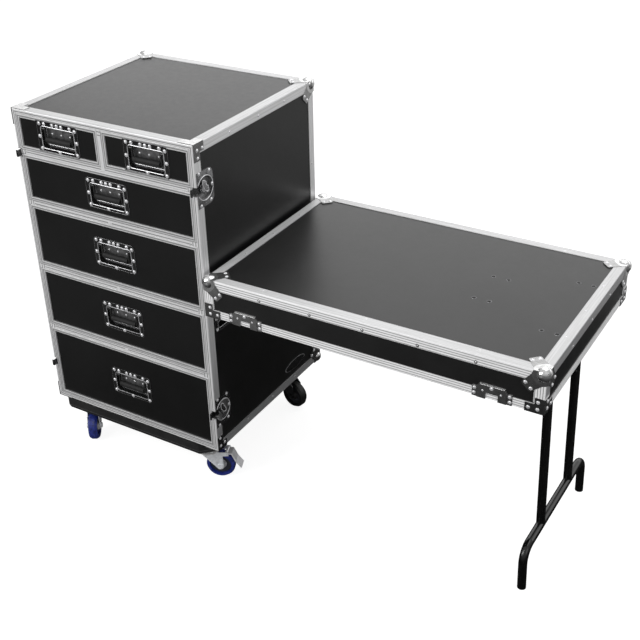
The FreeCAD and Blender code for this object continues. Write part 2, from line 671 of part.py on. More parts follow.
def trim_bar(corner, run, inward, length):
    """One trim bar: a front bar over the panel's edge and a thin skirt beside the panel."""
    deep = V(0, 1, 0)
    w, r, q = TRIM_W, TRIM_R, TRIM_INNER_R
    bend, soft = r * (1 - math.sqrt(0.5)), q * (1 - math.sqrt(0.5))
    edges = [Part.Arc(V(0, 0, r), V(0, bend, bend), V(0, r, 0)).toShape(),
             Part.LineSegment(V(0, r, 0), V(0, w - q, 0)).toShape(),
             Part.Arc(V(0, w - q, 0), V(0, w - soft, soft), V(0, w, q)).toShape()]
    end = TRIM_PROUD + TRIM_SKIRT_D
    points = [(w, q), (w, TRIM_PROUD), (TRIM_SKIRT_T, TRIM_PROUD), (TRIM_SKIRT_T, end), (0, end), (0, r)]
    edges += [Part.LineSegment(V(0, *p), V(0, *n)).toShape() for p, n in zip(points, points[1:])]
    bar = Part.Face(Part.Wire(edges)).extrude(V(length, 0, 0))
    for x, s in ((0, 1), (length, -1)):
        wedge = [V(x - s, -1, -1), V(x - s, w + 1, -1), V(x + s * (w + 1), w + 1, -1), V(x - s, -1, -1)]
        bar = bar.cut(Part.Face(Part.makePolygon(wedge)).extrude(V(0, 0, end + 2)))
    bar.Placement = FreeCAD.Placement(axes_matrix(corner, run, inward, deep)).multiply(bar.Placement)
    return bar


def runner(x, s, z0, height):
    """A C-shaped runner member whose web stands on the wall at x and whose lips point along s."""
    t, lip = RUNNER_T, RUNNER_LIP
    y = TRIM_PROUD + TRIM_SKIRT_D + PLAY
    section = [(0, 0), (lip, 0), (lip, t), (t, t), (t, height - t), (lip, height - t), (lip, height),
               (0, height)]
    return prism([V(x + s * a, y, z0 + b) for a, b in section], V(0, RUNNER_L, 0))


def drawer_runners():
    """Outer runner members, fixed to the case beside each drawer."""
    members = []
    for place in drawer_places():
        wall_left, wall_right = runner_walls(place)
        z0 = drawer_front(place)[2] + BOX_RISE + RUNNER_RISE
        members.append(runner(wall_left, 1, z0, RUNNER_H))
        members.append(runner(wall_right, -1, z0, RUNNER_H))
    return members


def case_dishes():
    """The four latch plates and the two carrying-handle dishes of the case's sides."""
    right = [latch_dish(z) for z in LATCH_ZS.values()]
    right.append(placed(handle_dish(), side_handle_place(), V(0, 1, 0), V(0, 0, 1)))
    return right + [mirrored(dish) for dish in right]


def side_handle_place():
    """Middle of the right-hand carrying handle, on the side panel's face."""
    return V(FACE_X, SIDE_HANDLE_Y, SIDE_HANDLE_Z)


def ball_corner():
    """Pressed ball corner for the corner of a box that fills +X, +Y and +Z.

    It has a slanting lobe on each face, which reaches over the edging down to the panel.
    """
    t, root, reach, edge = HARDWARE_T, CORNER_ROOT, CORNER_REACH, EDGE_W + PLAY
    half = [(root, -t), (root + 5, 12), (reach - 10, 30), (reach, 41), (reach, 46)]
    outline = [(-t, -t)] + half + [(b, a) for a, b in reversed(half)]
    plate = prism([V(a, b, -t) for a, b in outline], V(0, 0, t))
    tip = [(edge, edge), (reach - 8, edge)] + half[3:]
    foot = tip + [(b, a) for a, b in reversed(tip[1:])]
    pad = prism([V(a, b, 0) for a, b in foot], V(0, 0, EDGE_T))
    turns = (0, 120, 240)
    plates = [turned(plate, V(0, 0, 0), V(1, 1, 1), turn) for turn in turns]
    pads = [turned(pad, V(0, 0, 0), V(1, 1, 1), turn) for turn in turns]
    centre = BALL_R - BALL_PROUD
    ball = Part.makeSphere(BALL_R, V(centre, centre, centre))
    inside = box(0, 2 * reach, 0, 2 * reach, 0, 2 * reach)
    return fuse([fuse(plates + [ball]).cut(inside)] + pads)


def corner_plate():
    """Flat corner brace wrapped over the edge along +Z, at the rim z = 0, of a box in +X, +Y."""
    t, long, tall, wide = HARDWARE_T, BRACE_PLATE_L, BRACE_PLATE_H, BRACE_PLATE_W
    outline = [V(-t, -t, 0), V(long, -t, 0), V(long, -t, wide), V(wide, -t, wide), V(wide, -t, tall),
               V(-t, -t, tall)]
    face = prism(outline, V(0, t, 0))
    other = face.mirror(V(0, 0, 0), V(1, -1, 0))
    return fuse([face, other])


def set_corner(shape, at, u, v, w):
    """A corner piece drawn in +X, +Y, +Z, set on a corner whose edges run along u, v and w."""
    piece = shape.copy()
    if u.cross(v).dot(w) < 0:
        piece = piece.mirror(V(0, 0, 0), V(1, -1, 0))
        u, v = v, u
    piece.Placement = FreeCAD.Placement(axes_matrix(at, u, v, w)).multiply(piece.Placement)
    return piece


def corner_set(low, high, rim, ball, plate):
    """Ball corners on four corners of a box, and corner braces on the four of its open rim."""
    pieces = []
    axis, rim_high = rim
    for ix in (0, 1):
        for iy in (0, 1):
            for iz in (0, 1):
                index = (ix, iy, iz)
                at = V(*[(low, high)[index[k]][k] for k in range(3)])
                inward = [V(*[(1 - 2 * index[k]) if j == k else 0 for j in range(3)]) for k in range(3)]
                if index[axis] == rim_high:
                    others = [inward[k] for k in range(3) if k != axis]
                    pieces.append(set_corner(plate, at, others[0], others[1], inward[axis]))
                else:
                    pieces.append(set_corner(ball, at, *inward))
    return pieces


def caster_places():
    """Each caster's swivel axis at the board, by name."""
    left, right = CASTER_X - SWIVEL_X, CASTER_X + SWIVEL_X
    front, rear = SWIVEL_Y
    return {"fl": V(left, front, 0), "fr": V(right, front, 0),
            "rl": V(left, rear, 0), "rr": V(right, rear, 0)}


def board_outline(inset, z):
    """The board's outline at a height, drawn in by an inset, with one corner cut off."""
    x0, x1, y0, y1 = inset - BOARD_HALF, BOARD_HALF - inset, inset, BOARD_D - inset
    cut = BOARD_CHAMFER - inset * (2 - math.sqrt(2))
    points = [V(x0, y0, z), V(x1 - cut, y0, z), V(x1, y0 + cut, z), V(x1, y1, z), V(x0, y1, z)]
    return Part.makePolygon(points + points[:1])


def caster_board():
    """Board under the case, bevelled round its bottom edge."""
    middle = BEVEL_H - BOARD_T
    board = Part.Face(board_outline(0, middle)).extrude(V(0, 0, -middle))
    bevel = Part.makeLoft([board_outline(0, middle), board_outline(BEVEL_W, -BOARD_T)], True, True)
    return [fuse([board, bevel]).cut(case_corners())]


def caster_plate():
    """Bolted top plate of a caster with its upper race and king pin, about the swivel axis."""
    outline = cut_outline(PLATE_W / 2, PLATE_L / 2, PLATE_CUT, PLATE_Z)
    plate = Part.Face(outline).extrude(V(0, 0, PLATE_T))
    for sx in (-1, 1):
        for sy in (-1, 1):
            at = V(sx * PLATE_BOLTS_X / 2, sy * PLATE_BOLTS_Y / 2, PLATE_Z)
            plate = plate.cut(Part.makeCylinder(PLATE_BOLT_R, PLATE_T, at))
    race = Part.makeCylinder(RACE_R, RACE_T, V(0, 0, PLATE_Z - RACE_T))
    nut_top = CROWN_LOW_Z - FORK_T - PLAY
    pin = Part.makeCylinder(AXLE_R, PLATE_Z - nut_top, V(0, 0, nut_top))
    nut = prism([V(10 * math.cos(k * math.pi / 3), 10 * math.sin(k * math.pi / 3), nut_top - 5)
                 for k in range(6)], V(0, 0, 5))
    return fuse([plate, race, pin, nut])


def caster_fork(braked):
    """Swivel fork in its own frame: trail along +X, swivel axis through the origin."""
    crown = Part.makeCone(CROWN_R - 3, CROWN_R, CROWN_T, V(0, 0, CROWN_LOW_Z))
    low = CROWN_LOW_Z - FORK_T
    bridge = box(-24, 32, -FORK_HALF, FORK_HALF, low, CROWN_LOW_Z)
    boss = 13.0
    lean = math.radians(40)
    back = V(TRAIL - boss * math.cos(lean), 0, WHEEL_Z - boss * math.sin(lean))
    front = V(TRAIL + boss, 0, WHEEL_Z)
    outline = [Part.LineSegment(V(-24, 0, CROWN_LOW_Z), V(-24, 0, low - 8)).toShape(),
               Part.LineSegment(V(-24, 0, low - 8), back).toShape(),
               Part.Arc(back, V(TRAIL, 0, WHEEL_Z - boss), front).toShape()]
    corners = [front, V(TRAIL + 10, 0, PEDAL_Z - 10)]
    if braked:
        corners += [V(PEDAL_X + 7, 0, PEDAL_Z - 8), V(PEDAL_X + 7, 0, PEDAL_Z + 6)]
    corners += [V(32, 0, CROWN_LOW_Z), V(-24, 0, CROWN_LOW_Z)]
    outline += [Part.LineSegment(p, q).toShape() for p, q in zip(corners, corners[1:])]
    leg = Part.Face(Part.Wire(outline)).extrude(V(0, FORK_T, 0))
    legs = [moved(leg, V(0, -FORK_HALF, 0)), moved(leg, V(0, FORK_HALF - FORK_T, 0))]
    axle = rod(V(TRAIL, -FORK_HALF - 4, WHEEL_Z), V(TRAIL, FORK_HALF + 4, WHEEL_Z), AXLE_R)
    nuts = [rod(V(TRAIL, s * FORK_HALF, WHEEL_Z), V(TRAIL, s * (FORK_HALF + 5), WHEEL_Z), AXLE_R + 3.5)
            for s in (-1, 1)]
    pieces = [crown, bridge, axle] + legs + nuts
    if braked:
        pieces.append(rod(V(PEDAL_X, -FORK_HALF, PEDAL_Z), V(PEDAL_X, FORK_HALF, PEDAL_Z), STUD_R))
    fork = fuse(pieces)
    bore = Part.makeCylinder(AXLE_R + FIT, CROWN_T + FORK_T + 2, V(0, 0, low - 1))
    return fork.cut(bore)


def caster_wheel():
    """Wheel in the fork's frame: crowned tread, dished web and hub, as one turned profile."""
    half, hub = WHEEL_W / 2, HUB_W / 2
    rim = WHEEL_R - 13
    web = 6.0
    bore = AXLE_R + FIT
    side = [(bore, hub), (HUB_R - 4, hub), (HUB_R, web), (rim, web), (rim + 1, half), (WHEEL_R - 5, half),
            (WHEEL_R, half - 8)]
    profile = side + [(r, -y) for r, y in reversed(side)]
    points = [V(TRAIL, y, WHEEL_Z + r) for r, y in profile]
    face = Part.Face(Part.makePolygon(points + points[:1]))
    return face.revolve(V(TRAIL, 0, WHEEL_Z), V(0, 1, 0), 360)


def brake_pedal():
    """Brake pedal in the fork's frame, on the cross pin over the wheel."""
    half = FORK_HALF - FORK_T - PLAY
    hub = rod(V(PEDAL_X, -half, PEDAL_Z), V(PEDAL_X, half, PEDAL_Z), STUD_R + 2.4)
    profile = [(-1, 2.4), (19, 1), (32.5, -29), (51, -55), (48, -57.5), (29, -31), (16.5, -2.8), (0, -2.6)]
    plate = prism([V(PEDAL_X + x, -half, PEDAL_Z + z) for x, z in profile], V(0, 2 * half, 0))
    bore = rod(V(PEDAL_X, -half - 1, PEDAL_Z), V(PEDAL_X, half + 1, PEDAL_Z), STUD_R + FIT)
    return fuse([hub, plate]).cut(bore)


def set_caster(shape, name):
    """A caster piece turned and moved to its place under the board."""
    return moved(turned(shape, V(0, 0, 0), V(0, 0, 1), SWIVELS[name]), caster_places()[name])


def table_rail():
    """Hooked rail on the case's side that the lid's near wall hangs on."""
    x0 = FACE_X
    ledge = LID_BOTTOM_Z
    hook = LID_X + FACE_W + RAIL_PLAY
    t = RAIL_T
    section = [(x0, ledge - RAIL_H), (x0 + t, ledge - RAIL_H), (x0 + t, ledge - t), (hook + t, ledge - t),
               (hook + t, ledge + RAIL_HOOK), (hook, ledge + RAIL_HOOK), (hook, ledge), (x0, ledge)]
    return prism([V(x, LID_MID_Y - RAIL_L / 2, z) for x, z in section], V(0, RAIL_L, 0))


def case_corners():
    """Ball corners at the back of the case and corner braces round its open front."""
    return corner_set((-SIDE_X, 0, 0), (SIDE_X, CASE_D, CASE_H), (1, 0), ball_corner(), corner_plate())


def case_hardware():
    """Steel fittings of the case: corners, caster plates and the table's rail."""
    pieces = case_corners()
    plate = caster_plate()
    pieces += [moved(plate, at) for at in caster_places().values()]
    pieces.append(table_rail())
    return pieces


def lid_panels():
    """Plywood lid: table top and four walls, open below."""
    x0, x1 = LID_X + EDGE_T, LID_X + LID_L - EDGE_T
    y0, y1 = LID_Y + EDGE_T, LID_Y + LID_D - EDGE_T
    low, t = LID_BOTTOM_Z + EDGE_T, PANEL_T
    return [box(x0, x1, y0, y1, LID_INNER_Z, LID_INNER_Z + t),
            box(x0, x1, y0, y0 + t, low, LID_INNER_Z),
            box(x0, x1, y1 - t, y1, low, LID_INNER_Z),
            box(x0, x0 + t, y0 + t, y1 - t, low, LID_INNER_Z),
            box(x1 - t, x1, y0 + t, y1 - t, low, LID_INNER_Z)]


def lid_edging():
    """Aluminium angles of the lid and the channel round its open rim."""
    x0, x1 = LID_X, LID_X + LID_L
    y0, y1 = LID_Y, LID_Y + LID_D
    z0, z1 = LID_BOTTOM_Z, TABLE_TOP_Z
    bars = []
    for y, s in ((y0, 1), (y1, -1)):
        across = V(0, s, 0)
        bars.append(edging(V(x0, y, z1), V(1, 0, 0), across, V(0, 0, -1), LID_L, EDGE_W, EDGE_W))
        bars.append(edging(V(x0, y, z0), V(1, 0, 0), across, V(0, 0, 1), LID_L, FACE_W, LID_LIP_W, RIM_LIP))
    for x, s in ((x0, 1), (x1, -1)):
        along = V(s, 0, 0)
        bars.append(edging(V(x, y0, z1), V(0, 1, 0), along, V(0, 0, -1), LID_D, EDGE_W, EDGE_W))
        bars.append(edging(V(x, y0, z0), V(0, 1, 0), along, V(0, 0, 1), LID_D, FACE_W, LID_LIP_W, RIM_LIP))
        for y, sy in ((y0, 1), (y1, -1)):
            bars.append(edging(V(x, y, z0), V(0, 0, 1), along, V(0, sy, 0), LID_T, EDGE_W, EDGE_W))
    return bars


def keeper(x, y, s):
    """Latch keeper on a long wall of the lid: pressed plate over the rim with the hook's window."""
    half, low, high, z0 = KEEPER_L / 2, KEEPER_END_H, KEEPER_H, LID_BOTTOM_Z
    head, neck = half - 21, half - 11
    crest = [(half, low), (neck, low), (head, high), (-head, high), (-neck, low), (-half, low)]
    shape = [(-half, 0), (half, 0)] + crest
    boss = [(4 - neck, 0), (neck - 4, 0), (neck - 4, low - 2), (head - 1, high - 2.5), (1 - head, high - 2.5),
            (4 - neck, low - 2)]
    back = [(-half, LID_LIP_W + PLAY), (half, LID_LIP_W + PLAY)] + crest
    face = y - s * KEEPER_T
    pieces = []
    for outline, start, depth in ((shape, y, -KEEPER_T), (boss, face, -KEEPER_PROUD), (back, y, EDGE_T)):
        pieces.append(prism([V(x + a, start, z0 + b) for a, b in outline], V(0, s * depth, 0)))
    outer = y - s * (KEEPER_T + KEEPER_PROUD + 1)
    near, far = sorted((y, outer))
    window = box(x - WINDOW_W / 2, x + WINDOW_W / 2, near, far, z0 - 1, z0 + WINDOW_H)
    return fuse(pieces).cut(window)


def leg_bracket(y):
    """Bracket under the lid for one upright: screwed plate, two ears and the pivot bolt."""
    x, z = LEG_PIVOT.x, LEG_PIVOT.z
    top = LID_INNER_Z
    gap = LEG_R + 1.5
    side = 1 if y > LID_MID_Y else -1
    y0, y1 = sorted((y - side * 22, y + side * LEG_PLATE_OUT))
    pieces = [box(x - 33, x + 33, y0, y1, top - BRACKET_T, top)]
    for s in (-1, 1):
        inner, outer = sorted((y + s * gap, y + s * (gap + BRACKET_T)))
        points = [V(x - 22, inner, top - BRACKET_T), V(x + 22, inner, top - BRACKET_T),
                  V(x + 10, inner, z - 8), V(x + 5, inner, z - 12), V(x - 5, inner, z - 12),
                  V(x - 10, inner, z - 8)]
        pieces.append(prism(points, V(0, outer - inner, 0)))
    reach = gap + BRACKET_T + 4
    pieces.append(rod(V(x, y - reach, z), V(x, y + reach, z), LEG_BOLT_R))
    for s in (-1, 1):
        start = y + s * (gap + BRACKET_T)
        pieces.append(rod(V(x, start, z), V(x, start + s * 5, z), LEG_BOLT_R + 3))
    return fuse(pieces)


def brace_bracket():
    """Bracket under the lid for the brace: screwed plate, two ears and the rod between them."""
    x, y, z = BRACE_PIVOT.x, BRACE_PIVOT.y, BRACE_PIVOT.z
    top = LID_INNER_Z
    ear = BRACE_UPPER_HALF + BRACE_T / 2 + BRACE_SIDE_PLAY
    pieces = [box(x - 35, x + 35, y - ear - 20, y + ear + 20, top - BRACKET_T, top)]
    for s in (-1, 1):
        inner, outer = sorted((y + s * ear, y + s * (ear + BRACKET_T)))
        points = [V(x - 18, inner, top - BRACKET_T), V(x + 18, inner, top - BRACKET_T),
                  V(x + 8, inner, z - 8), V(x - 8, inner, z - 8)]
        pieces.append(prism(points, V(0, outer - inner, 0)))
    pieces.append(rod(V(x, y - ear - BRACKET_T, z), V(x, y + ear + BRACKET_T, z), BRACE_ROD_R))
    return fuse(pieces)


def lid_hardware():
    """Steel fittings of the lid: corners, braces, latch keepers and the folding legs' brackets."""
    low = (LID_X, LID_Y, LID_BOTTOM_Z)
    high = (LID_X + LID_L, LID_Y + LID_D, TABLE_TOP_Z)
    pieces = corner_set(low, high, (2, 0), ball_corner(), corner_plate())
    for x in (LID_X + LATCH_INSET, LID_X + LID_L - LATCH_INSET):
        pieces.append(keeper(x, LID_Y, 1))
        pieces.append(keeper(x, LID_Y + LID_D, -1))
    for s in (-1, 1):
        pieces.append(leg_bracket(LID_MID_Y + s * LEG_SPREAD / 2))
    pieces.append(brace_bracket())
    return pieces


def leg_frame():
    """Tube legs on their pivots, standing on a crossbar whose ends turn down into the feet."""
    pivot = LEG_PIVOT
    drop = (pivot.z - FLOOR_Z) / math.cos(math.radians(LEG_LEAN))
    z0 = pivot.z - drop
    middle = V(pivot.x, pivot.y, z0 + CROSSBAR_Z)
    bar = cross_bore(middle, FOOT_SPREAD / 2 - BEND_R, LEG_R)
    pieces = [bar]
    for s in (-1, 1):
        y = pivot.y + s * LEG_SPREAD / 2
        upright = rod(V(pivot.x, y, middle.z), V(pivot.x, y, pivot.z + LEG_STUB), LEG_R)
        upright = upright.cut(bar).cut(cross_bore(V(pivot.x, y, pivot.z), 2 * LEG_R, LEG_BOLT_R + FIT))
        anchor = V(pivot.x, y + s * LEG_R, pivot.z - BRACE_ANCHOR)
        out = V(0, s, 0)
        bolt = rod(anchor.sub(out * 3), anchor.add(out * 4), LEG_BOLT_R + 1)
        foot_y = pivot.y + s * FOOT_SPREAD / 2
        corners = [middle, V(pivot.x, foot_y, middle.z), V(pivot.x, foot_y, z0 - LEG_R)]
        edges, bend_start = bent_line(corners, BEND_R)
        section = Part.Wire(Part.Circle(bend_start, out, LEG_R).toShape())
        pieces += [upright.fuse(bolt), Part.Wire(edges).makePipeShell([section], True, False)]
    floor = box(pivot.x - 200, pivot.x + 200, pivot.y - 600, pivot.y + 600, FLOOR_Z - 100, FLOOR_Z)
    return [turned(piece, pivot, V(0, 1, 0), -LEG_LEAN).cut(floor) for piece in pieces]


def bent_line(corners, bend):
    """Edges of a bent centre line from its first bend on, and the point where that bend begins."""
    edges = []
    ends = []
    for before, at, after in zip(corners, corners[1:], corners[2:]):
        to_before = before.sub(at).normalize()
        to_after = after.sub(at).normalize()
        half_angle = to_before.getAngle(to_after) / 2
        reach = bend / math.tan(half_angle)
        a = at.add(to_before * reach)
        b = at.add(to_after * reach)
        mid = at.add(to_before.add(to_after).normalize() * (bend / math.sin(half_angle) - bend))
        if ends:
            edges.append(Part.LineSegment(ends[-1], a).toShape())
        edges.append(Part.Arc(a, mid, b).toShape())
        ends += [a, b]
    edges.append(Part.LineSegment(ends[-1], corners[-1]).toShape())
    return edges, ends[0]


def brace_knee():
    """Knee of the straightened brace: where its two links' circles meet above the leg's bolt line."""
    lean = math.radians(LEG_LEAN)
    end = V(LEG_PIVOT.x + BRACE_ANCHOR * math.sin(lean), LEG_PIVOT.y,
            LEG_PIVOT.z - BRACE_ANCHOR * math.cos(lean))
    span = end.sub(BRACE_PIVOT)
    along = (BRACE_UPPER_L ** 2 - BRACE_LOWER_L ** 2 + span.Length ** 2) / (2 * span.Length)
    off = math.sqrt(max(BRACE_UPPER_L ** 2 - along ** 2, 0))
    unit = V(span).normalize()
    normal = V(-unit.z, 0, unit.x)
    return BRACE_PIVOT.add(unit * along).add(normal * off), end


def link_bar(start, end, y, thickness):
    """Flat bar with round ends between two points, centred on the plane y."""
    unit = end.sub(start).normalize()
    across = V(-unit.z, 0, unit.x) * (BRACE_W / 2)
    a0, a1 = start.add(across), start.sub(across)
    b0, b1 = end.add(across), end.sub(across)
    half = unit * (BRACE_W / 2)
    outline = [Part.Arc(a0, start.sub(half), a1).toShape(), Part.LineSegment(a1, b1).toShape(),
               Part.Arc(b1, end.add(half), b0).toShape(), Part.LineSegment(b0, a0).toShape()]
    bar = Part.Face(Part.Wire(outline)).extrude(V(0, thickness, 0))
    return moved(bar, V(0, y - thickness / 2, 0))


def cross_bore(at, half, radius):
    """A round hole along Y through a point."""
    return rod(at.sub(V(0, half, 0)), at.add(V(0, half, 0)), radius)


def brace_upper():
    """Upper brace link: two bars hung on the bracket's rod and tied together."""
    knee = brace_knee()[0]
    unit = knee.sub(BRACE_PIVOT).normalize()
    pieces = []
    for s in (-1, 1):
        bar = link_bar(BRACE_PIVOT, knee, s * BRACE_UPPER_HALF, BRACE_T)
        for at in (BRACE_PIVOT, knee):
            bar = bar.cut(cross_bore(at, 2 * BRACE_UPPER_HALF, BRACE_ROD_R + FIT))
        pieces.append(bar)
    inner = BRACE_UPPER_HALF - BRACE_T / 2
    middle = BRACE_PIVOT.add(unit * (BRACE_UPPER_L / 2)).sub(V(0, inner, 0))
    return pieces + [link_tie(middle, unit, 2 * inner)]


def link_tie(middle, unit, length):
    """Flat strip between a pair of bars, standing in their plane."""
    along = unit * (BRACE_W / 2)
    across = V(-unit.z, 0, unit.x) * (BRACE_T / 2)
    points = [middle.add(along).add(across), middle.sub(along).add(across),
              middle.sub(along).sub(across), middle.add(along).sub(across)]
    return prism(points, V(0, length, 0))


def brace_lower():
    """Lower brace link: two bars beside the uprights, joined by the knee's rod."""
    knee, end = brace_knee()
    half = LEG_SPREAD / 2 - LEG_R - BRACE_SIDE_PLAY - BRACE_T / 2
    hole = cross_bore(end, 2 * half, LEG_BOLT_R)
    bars = [link_bar(knee, end, s * half, BRACE_T).cut(hole) for s in (-1, 1)]
    return bars + [cross_bore(knee, half - BRACE_T / 2, BRACE_ROD_R)]


def write(name, solids):
    """One STEP file with its solids, moved to the part's origin."""
    pieces = solids if isinstance(solids, list) else [solids]
    single = []
    for piece in pieces:
        single += [moved(solid, -ORIGIN) for solid in piece.Solids]
    shape = single[0] if len(single) == 1 else Part.makeCompound(single)
    shape.exportStep("parts/" + name + ".step")
    return shape


def build():
    """Every node by name."""
    nodes = {"case_panels": case_panels(), "case_edging": case_edging(), "case_hardware": case_hardware(),
             "case_dishes": case_dishes(), "caster_board": caster_board(), "drawer_runners": drawer_runners()}
    dish, bail = handle_dish(), handle_bail()
    for number, place in enumerate(drawer_places(), 1):
        prefix = "drawer_%d_" % number
        middle = drawer_middle(place)
        nodes[prefix + "box"] = drawer_box(place)
        nodes[prefix + "trim"] = drawer_trim(place)
        nodes[prefix + "dish"] = placed(dish, middle, V(1, 0, 0), V(0, 0, 1))
        nodes[prefix + "bail"] = placed(bail, middle, V(1, 0, 0), V(0, 0, 1))
    side_bail = placed(bail, side_handle_place(), V(0, 1, 0), V(0, 0, 1))
    nodes["side_bail_right"] = side_bail
    nodes["side_bail_left"] = mirrored(side_bail)
    for level, z in LATCH_ZS.items():
        for piece, make in (("rotor", latch_rotor), ("wing", latch_wing), ("hook", latch_hook)):
            right = make(z)
            nodes["latch_%sr_%s" % (level, piece)] = right
            nodes["latch_%sl_%s" % (level, piece)] = mirrored(right)
    for name in SWIVELS:
        nodes["caster_%s_fork" % name] = set_caster(caster_fork(name in BRAKED), name)
        nodes["caster_%s_wheel" % name] = set_caster(caster_wheel(), name)
    for name in BRAKED:
        nodes["brake_pedal_" + name] = set_caster(brake_pedal(), name)
    nodes["lid_panels"] = lid_panels()
    nodes["lid_edging"] = lid_edging()
    nodes["lid_hardware"] = lid_hardware()
    nodes["leg_frame"] = leg_frame()
    nodes["brace_upper"] = brace_upper()
    nodes["brace_lower"] = brace_lower()
    return nodes


def main():
    os.makedirs("parts", exist_ok=True)
    for name, solids in build().items():
        write(name, solids)


main()
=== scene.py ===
"""Looks of the drawer flight case with its lid set up as a table beside it.

Shapes are in millimetres from the case's middle, front plane and bottom, until row() or
Piece.make() turns them into the frame's metres. Sizes inside a material are in metres.
"""
import math
import bpy
from functools import partialmethod
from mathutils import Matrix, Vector


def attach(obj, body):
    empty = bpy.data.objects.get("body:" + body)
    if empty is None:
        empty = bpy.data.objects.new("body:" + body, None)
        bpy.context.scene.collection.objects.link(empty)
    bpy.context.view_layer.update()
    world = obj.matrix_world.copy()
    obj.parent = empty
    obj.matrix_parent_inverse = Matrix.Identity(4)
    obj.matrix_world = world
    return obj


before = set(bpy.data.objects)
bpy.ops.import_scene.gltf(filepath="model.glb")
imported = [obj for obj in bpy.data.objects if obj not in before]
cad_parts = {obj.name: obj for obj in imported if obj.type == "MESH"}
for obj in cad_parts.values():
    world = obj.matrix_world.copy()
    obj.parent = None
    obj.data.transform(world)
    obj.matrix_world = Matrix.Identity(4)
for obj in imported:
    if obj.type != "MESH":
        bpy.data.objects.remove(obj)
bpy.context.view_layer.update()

MM = 0.001
X, Y, Z = Vector((1, 0, 0)), Vector((0, 1, 0)), Vector((0, 0, 1))

# The case's middle, front plane and bottom in the row frame
CASE_ZERO = Vector((-544.0, -331.0, 165.0))
CASE_W, CASE_D, CASE_H = 700.0, 660.0, 1076.0
CASE_SIDE = CASE_W / 2
CASE_MIDDLE = CASE_ZERO.x * MM
# Left, right, bottom and top of the drawers' bays
DRAWERS = [(-336.5, -6.75, 942, 1062.5), (6.75, 336.5, 942, 1062.5),
           (-336.5, 336.5, 767, 928.5), (-336.5, 336.5, 533.9, 753.5),
           (-336.5, 336.5, 300.8, 520.4), (-336.5, 336.5, 13.5, 287.3)]
FRONT_GAP, FRONT_DEPTH = 1, 600
# Middles of the handles' flanges and of the latches
HANDLE_Y = 5
SIDE_HANDLE_X, SIDE_HANDLE_Y, SIDE_HANDLE_Z = 348, 120, 488
LATCH_Y, LATCH_INSET = 44, 145
# Side and height of the latches
LATCHES = {"ul": (-1, CASE_H - LATCH_INSET), "ll": (-1, LATCH_INSET),
           "ur": (1, CASE_H - LATCH_INSET), "lr": (1, LATCH_INSET)}
# Swivel axis and heading in degrees of the casters
CASTERS = {"fl": (-250.0, 60.0, -58.0), "fr": (266.0, 60.0, 23.5),
           "rl": (-250.0, 560.0, 200.0), "rr": (266.0, 560.0, -11.0)}
TRAIL, WHEEL_Z = 37, -115
BOARD_BEVEL_Z = -32
# Thickness of pressed plates and flanges, on which rivets sit
PLATE_T = 1.5

LID_X, LID_Y, TABLE_Z = 362.0, -19.0, 664.0
LID_L, LID_D, LID_T = 1076.0, 700.0, 129.0
KEEPER_INSET = 145


def row(x, y, z):
    """A point given in millimetres from the case's front, in metres in the row frame."""
    return (Vector((x, y, z)) + CASE_ZERO) * MM


def grey(tone):
    """A colour without a hue."""
    return (tone, tone, tone)


CASE_BOX = (row(-CASE_SIDE, 0, 0), row(CASE_SIDE, CASE_D, CASE_H))
LID_BOX = (row(LID_X, LID_Y, TABLE_Z - LID_T), row(LID_X + LID_L, LID_Y + LID_D, TABLE_Z))


# Materials
class Nodes:
    """Short calls that add nodes to the tree of a material or of the world."""

    def __init__(self, owner):
        owner.use_nodes = True
        self.nodes = owner.node_tree.nodes
        self.links = owner.node_tree.links

    def put(self, socket, value):
        """Links a socket to another or sets its value; a colour gets its alpha here."""
        if isinstance(value, bpy.types.NodeSocket):
            self.links.new(value, socket)
        elif socket.type == "RGBA":
            socket.default_value = (*value, 1)
        else:
            socket.default_value = value

    def add(self, kind, inputs=None, **settings):
        """A new node, with its settings and what goes into its inputs, by name or by place."""
        node = self.nodes.new("ShaderNode" + kind)
        for name, value in settings.items():
            setattr(node, name, value)
        for key, value in (inputs or {}).items():
            self.put(node.inputs[key], value)
        return node

    def calc(self, operation, a, b=0.0):
        return self.add("Math", {0: a, 1: b}, operation=operation).outputs[0]

    plus = partialmethod(calc, "ADD")
    minus = partialmethod(calc, "SUBTRACT")
    times = partialmethod(calc, "MULTIPLY")
    least = partialmethod(calc, "MINIMUM")
    most = partialmethod(calc, "MAXIMUM")
    above = partialmethod(calc, "GREATER_THAN")
    below = partialmethod(calc, "LESS_THAN")
    size = partialmethod(calc, "ABSOLUTE")
    root = partialmethod(calc, "SQRT")
    sine = partialmethod(calc, "SINE")

    def step(self, value, start, end):
        """0 before start and 1 after end, also where start is the larger one."""
        node = self.add("MapRange", {"Value": value, "From Min": start, "From Max": end},
                        interpolation_type="SMOOTHSTEP")
        return node.outputs["Result"]

    def scaled(self, value, low, high, start=0.0, end=1.0):
        """From low at start to high at end, in a straight line."""
        node = self.add("MapRange", {"Value": value, "From Min": start, "From Max": end,
                                     "To Min": low, "To Max": high})
        return node.outputs["Result"]

    def blend(self, share, a, b):
        """A number between a and b."""
        return self.add("Mix", {0: share, 2: a, 3: b}).outputs[0]

    def mix(self, share, a, b):
        """A colour between a and b."""
        return self.add("Mix", {0: share, 6: a, 7: b}, data_type="RGBA").outputs[2]

    def glow(self, strength):
        return self.add("Emission", {"Color": grey(1), "Strength": strength}).outputs[0]

    def layer(self, share, under, over):
        """A surface between two others."""
        return self.add("MixShader", {0: share, 1: under, 2: over}).outputs[0]


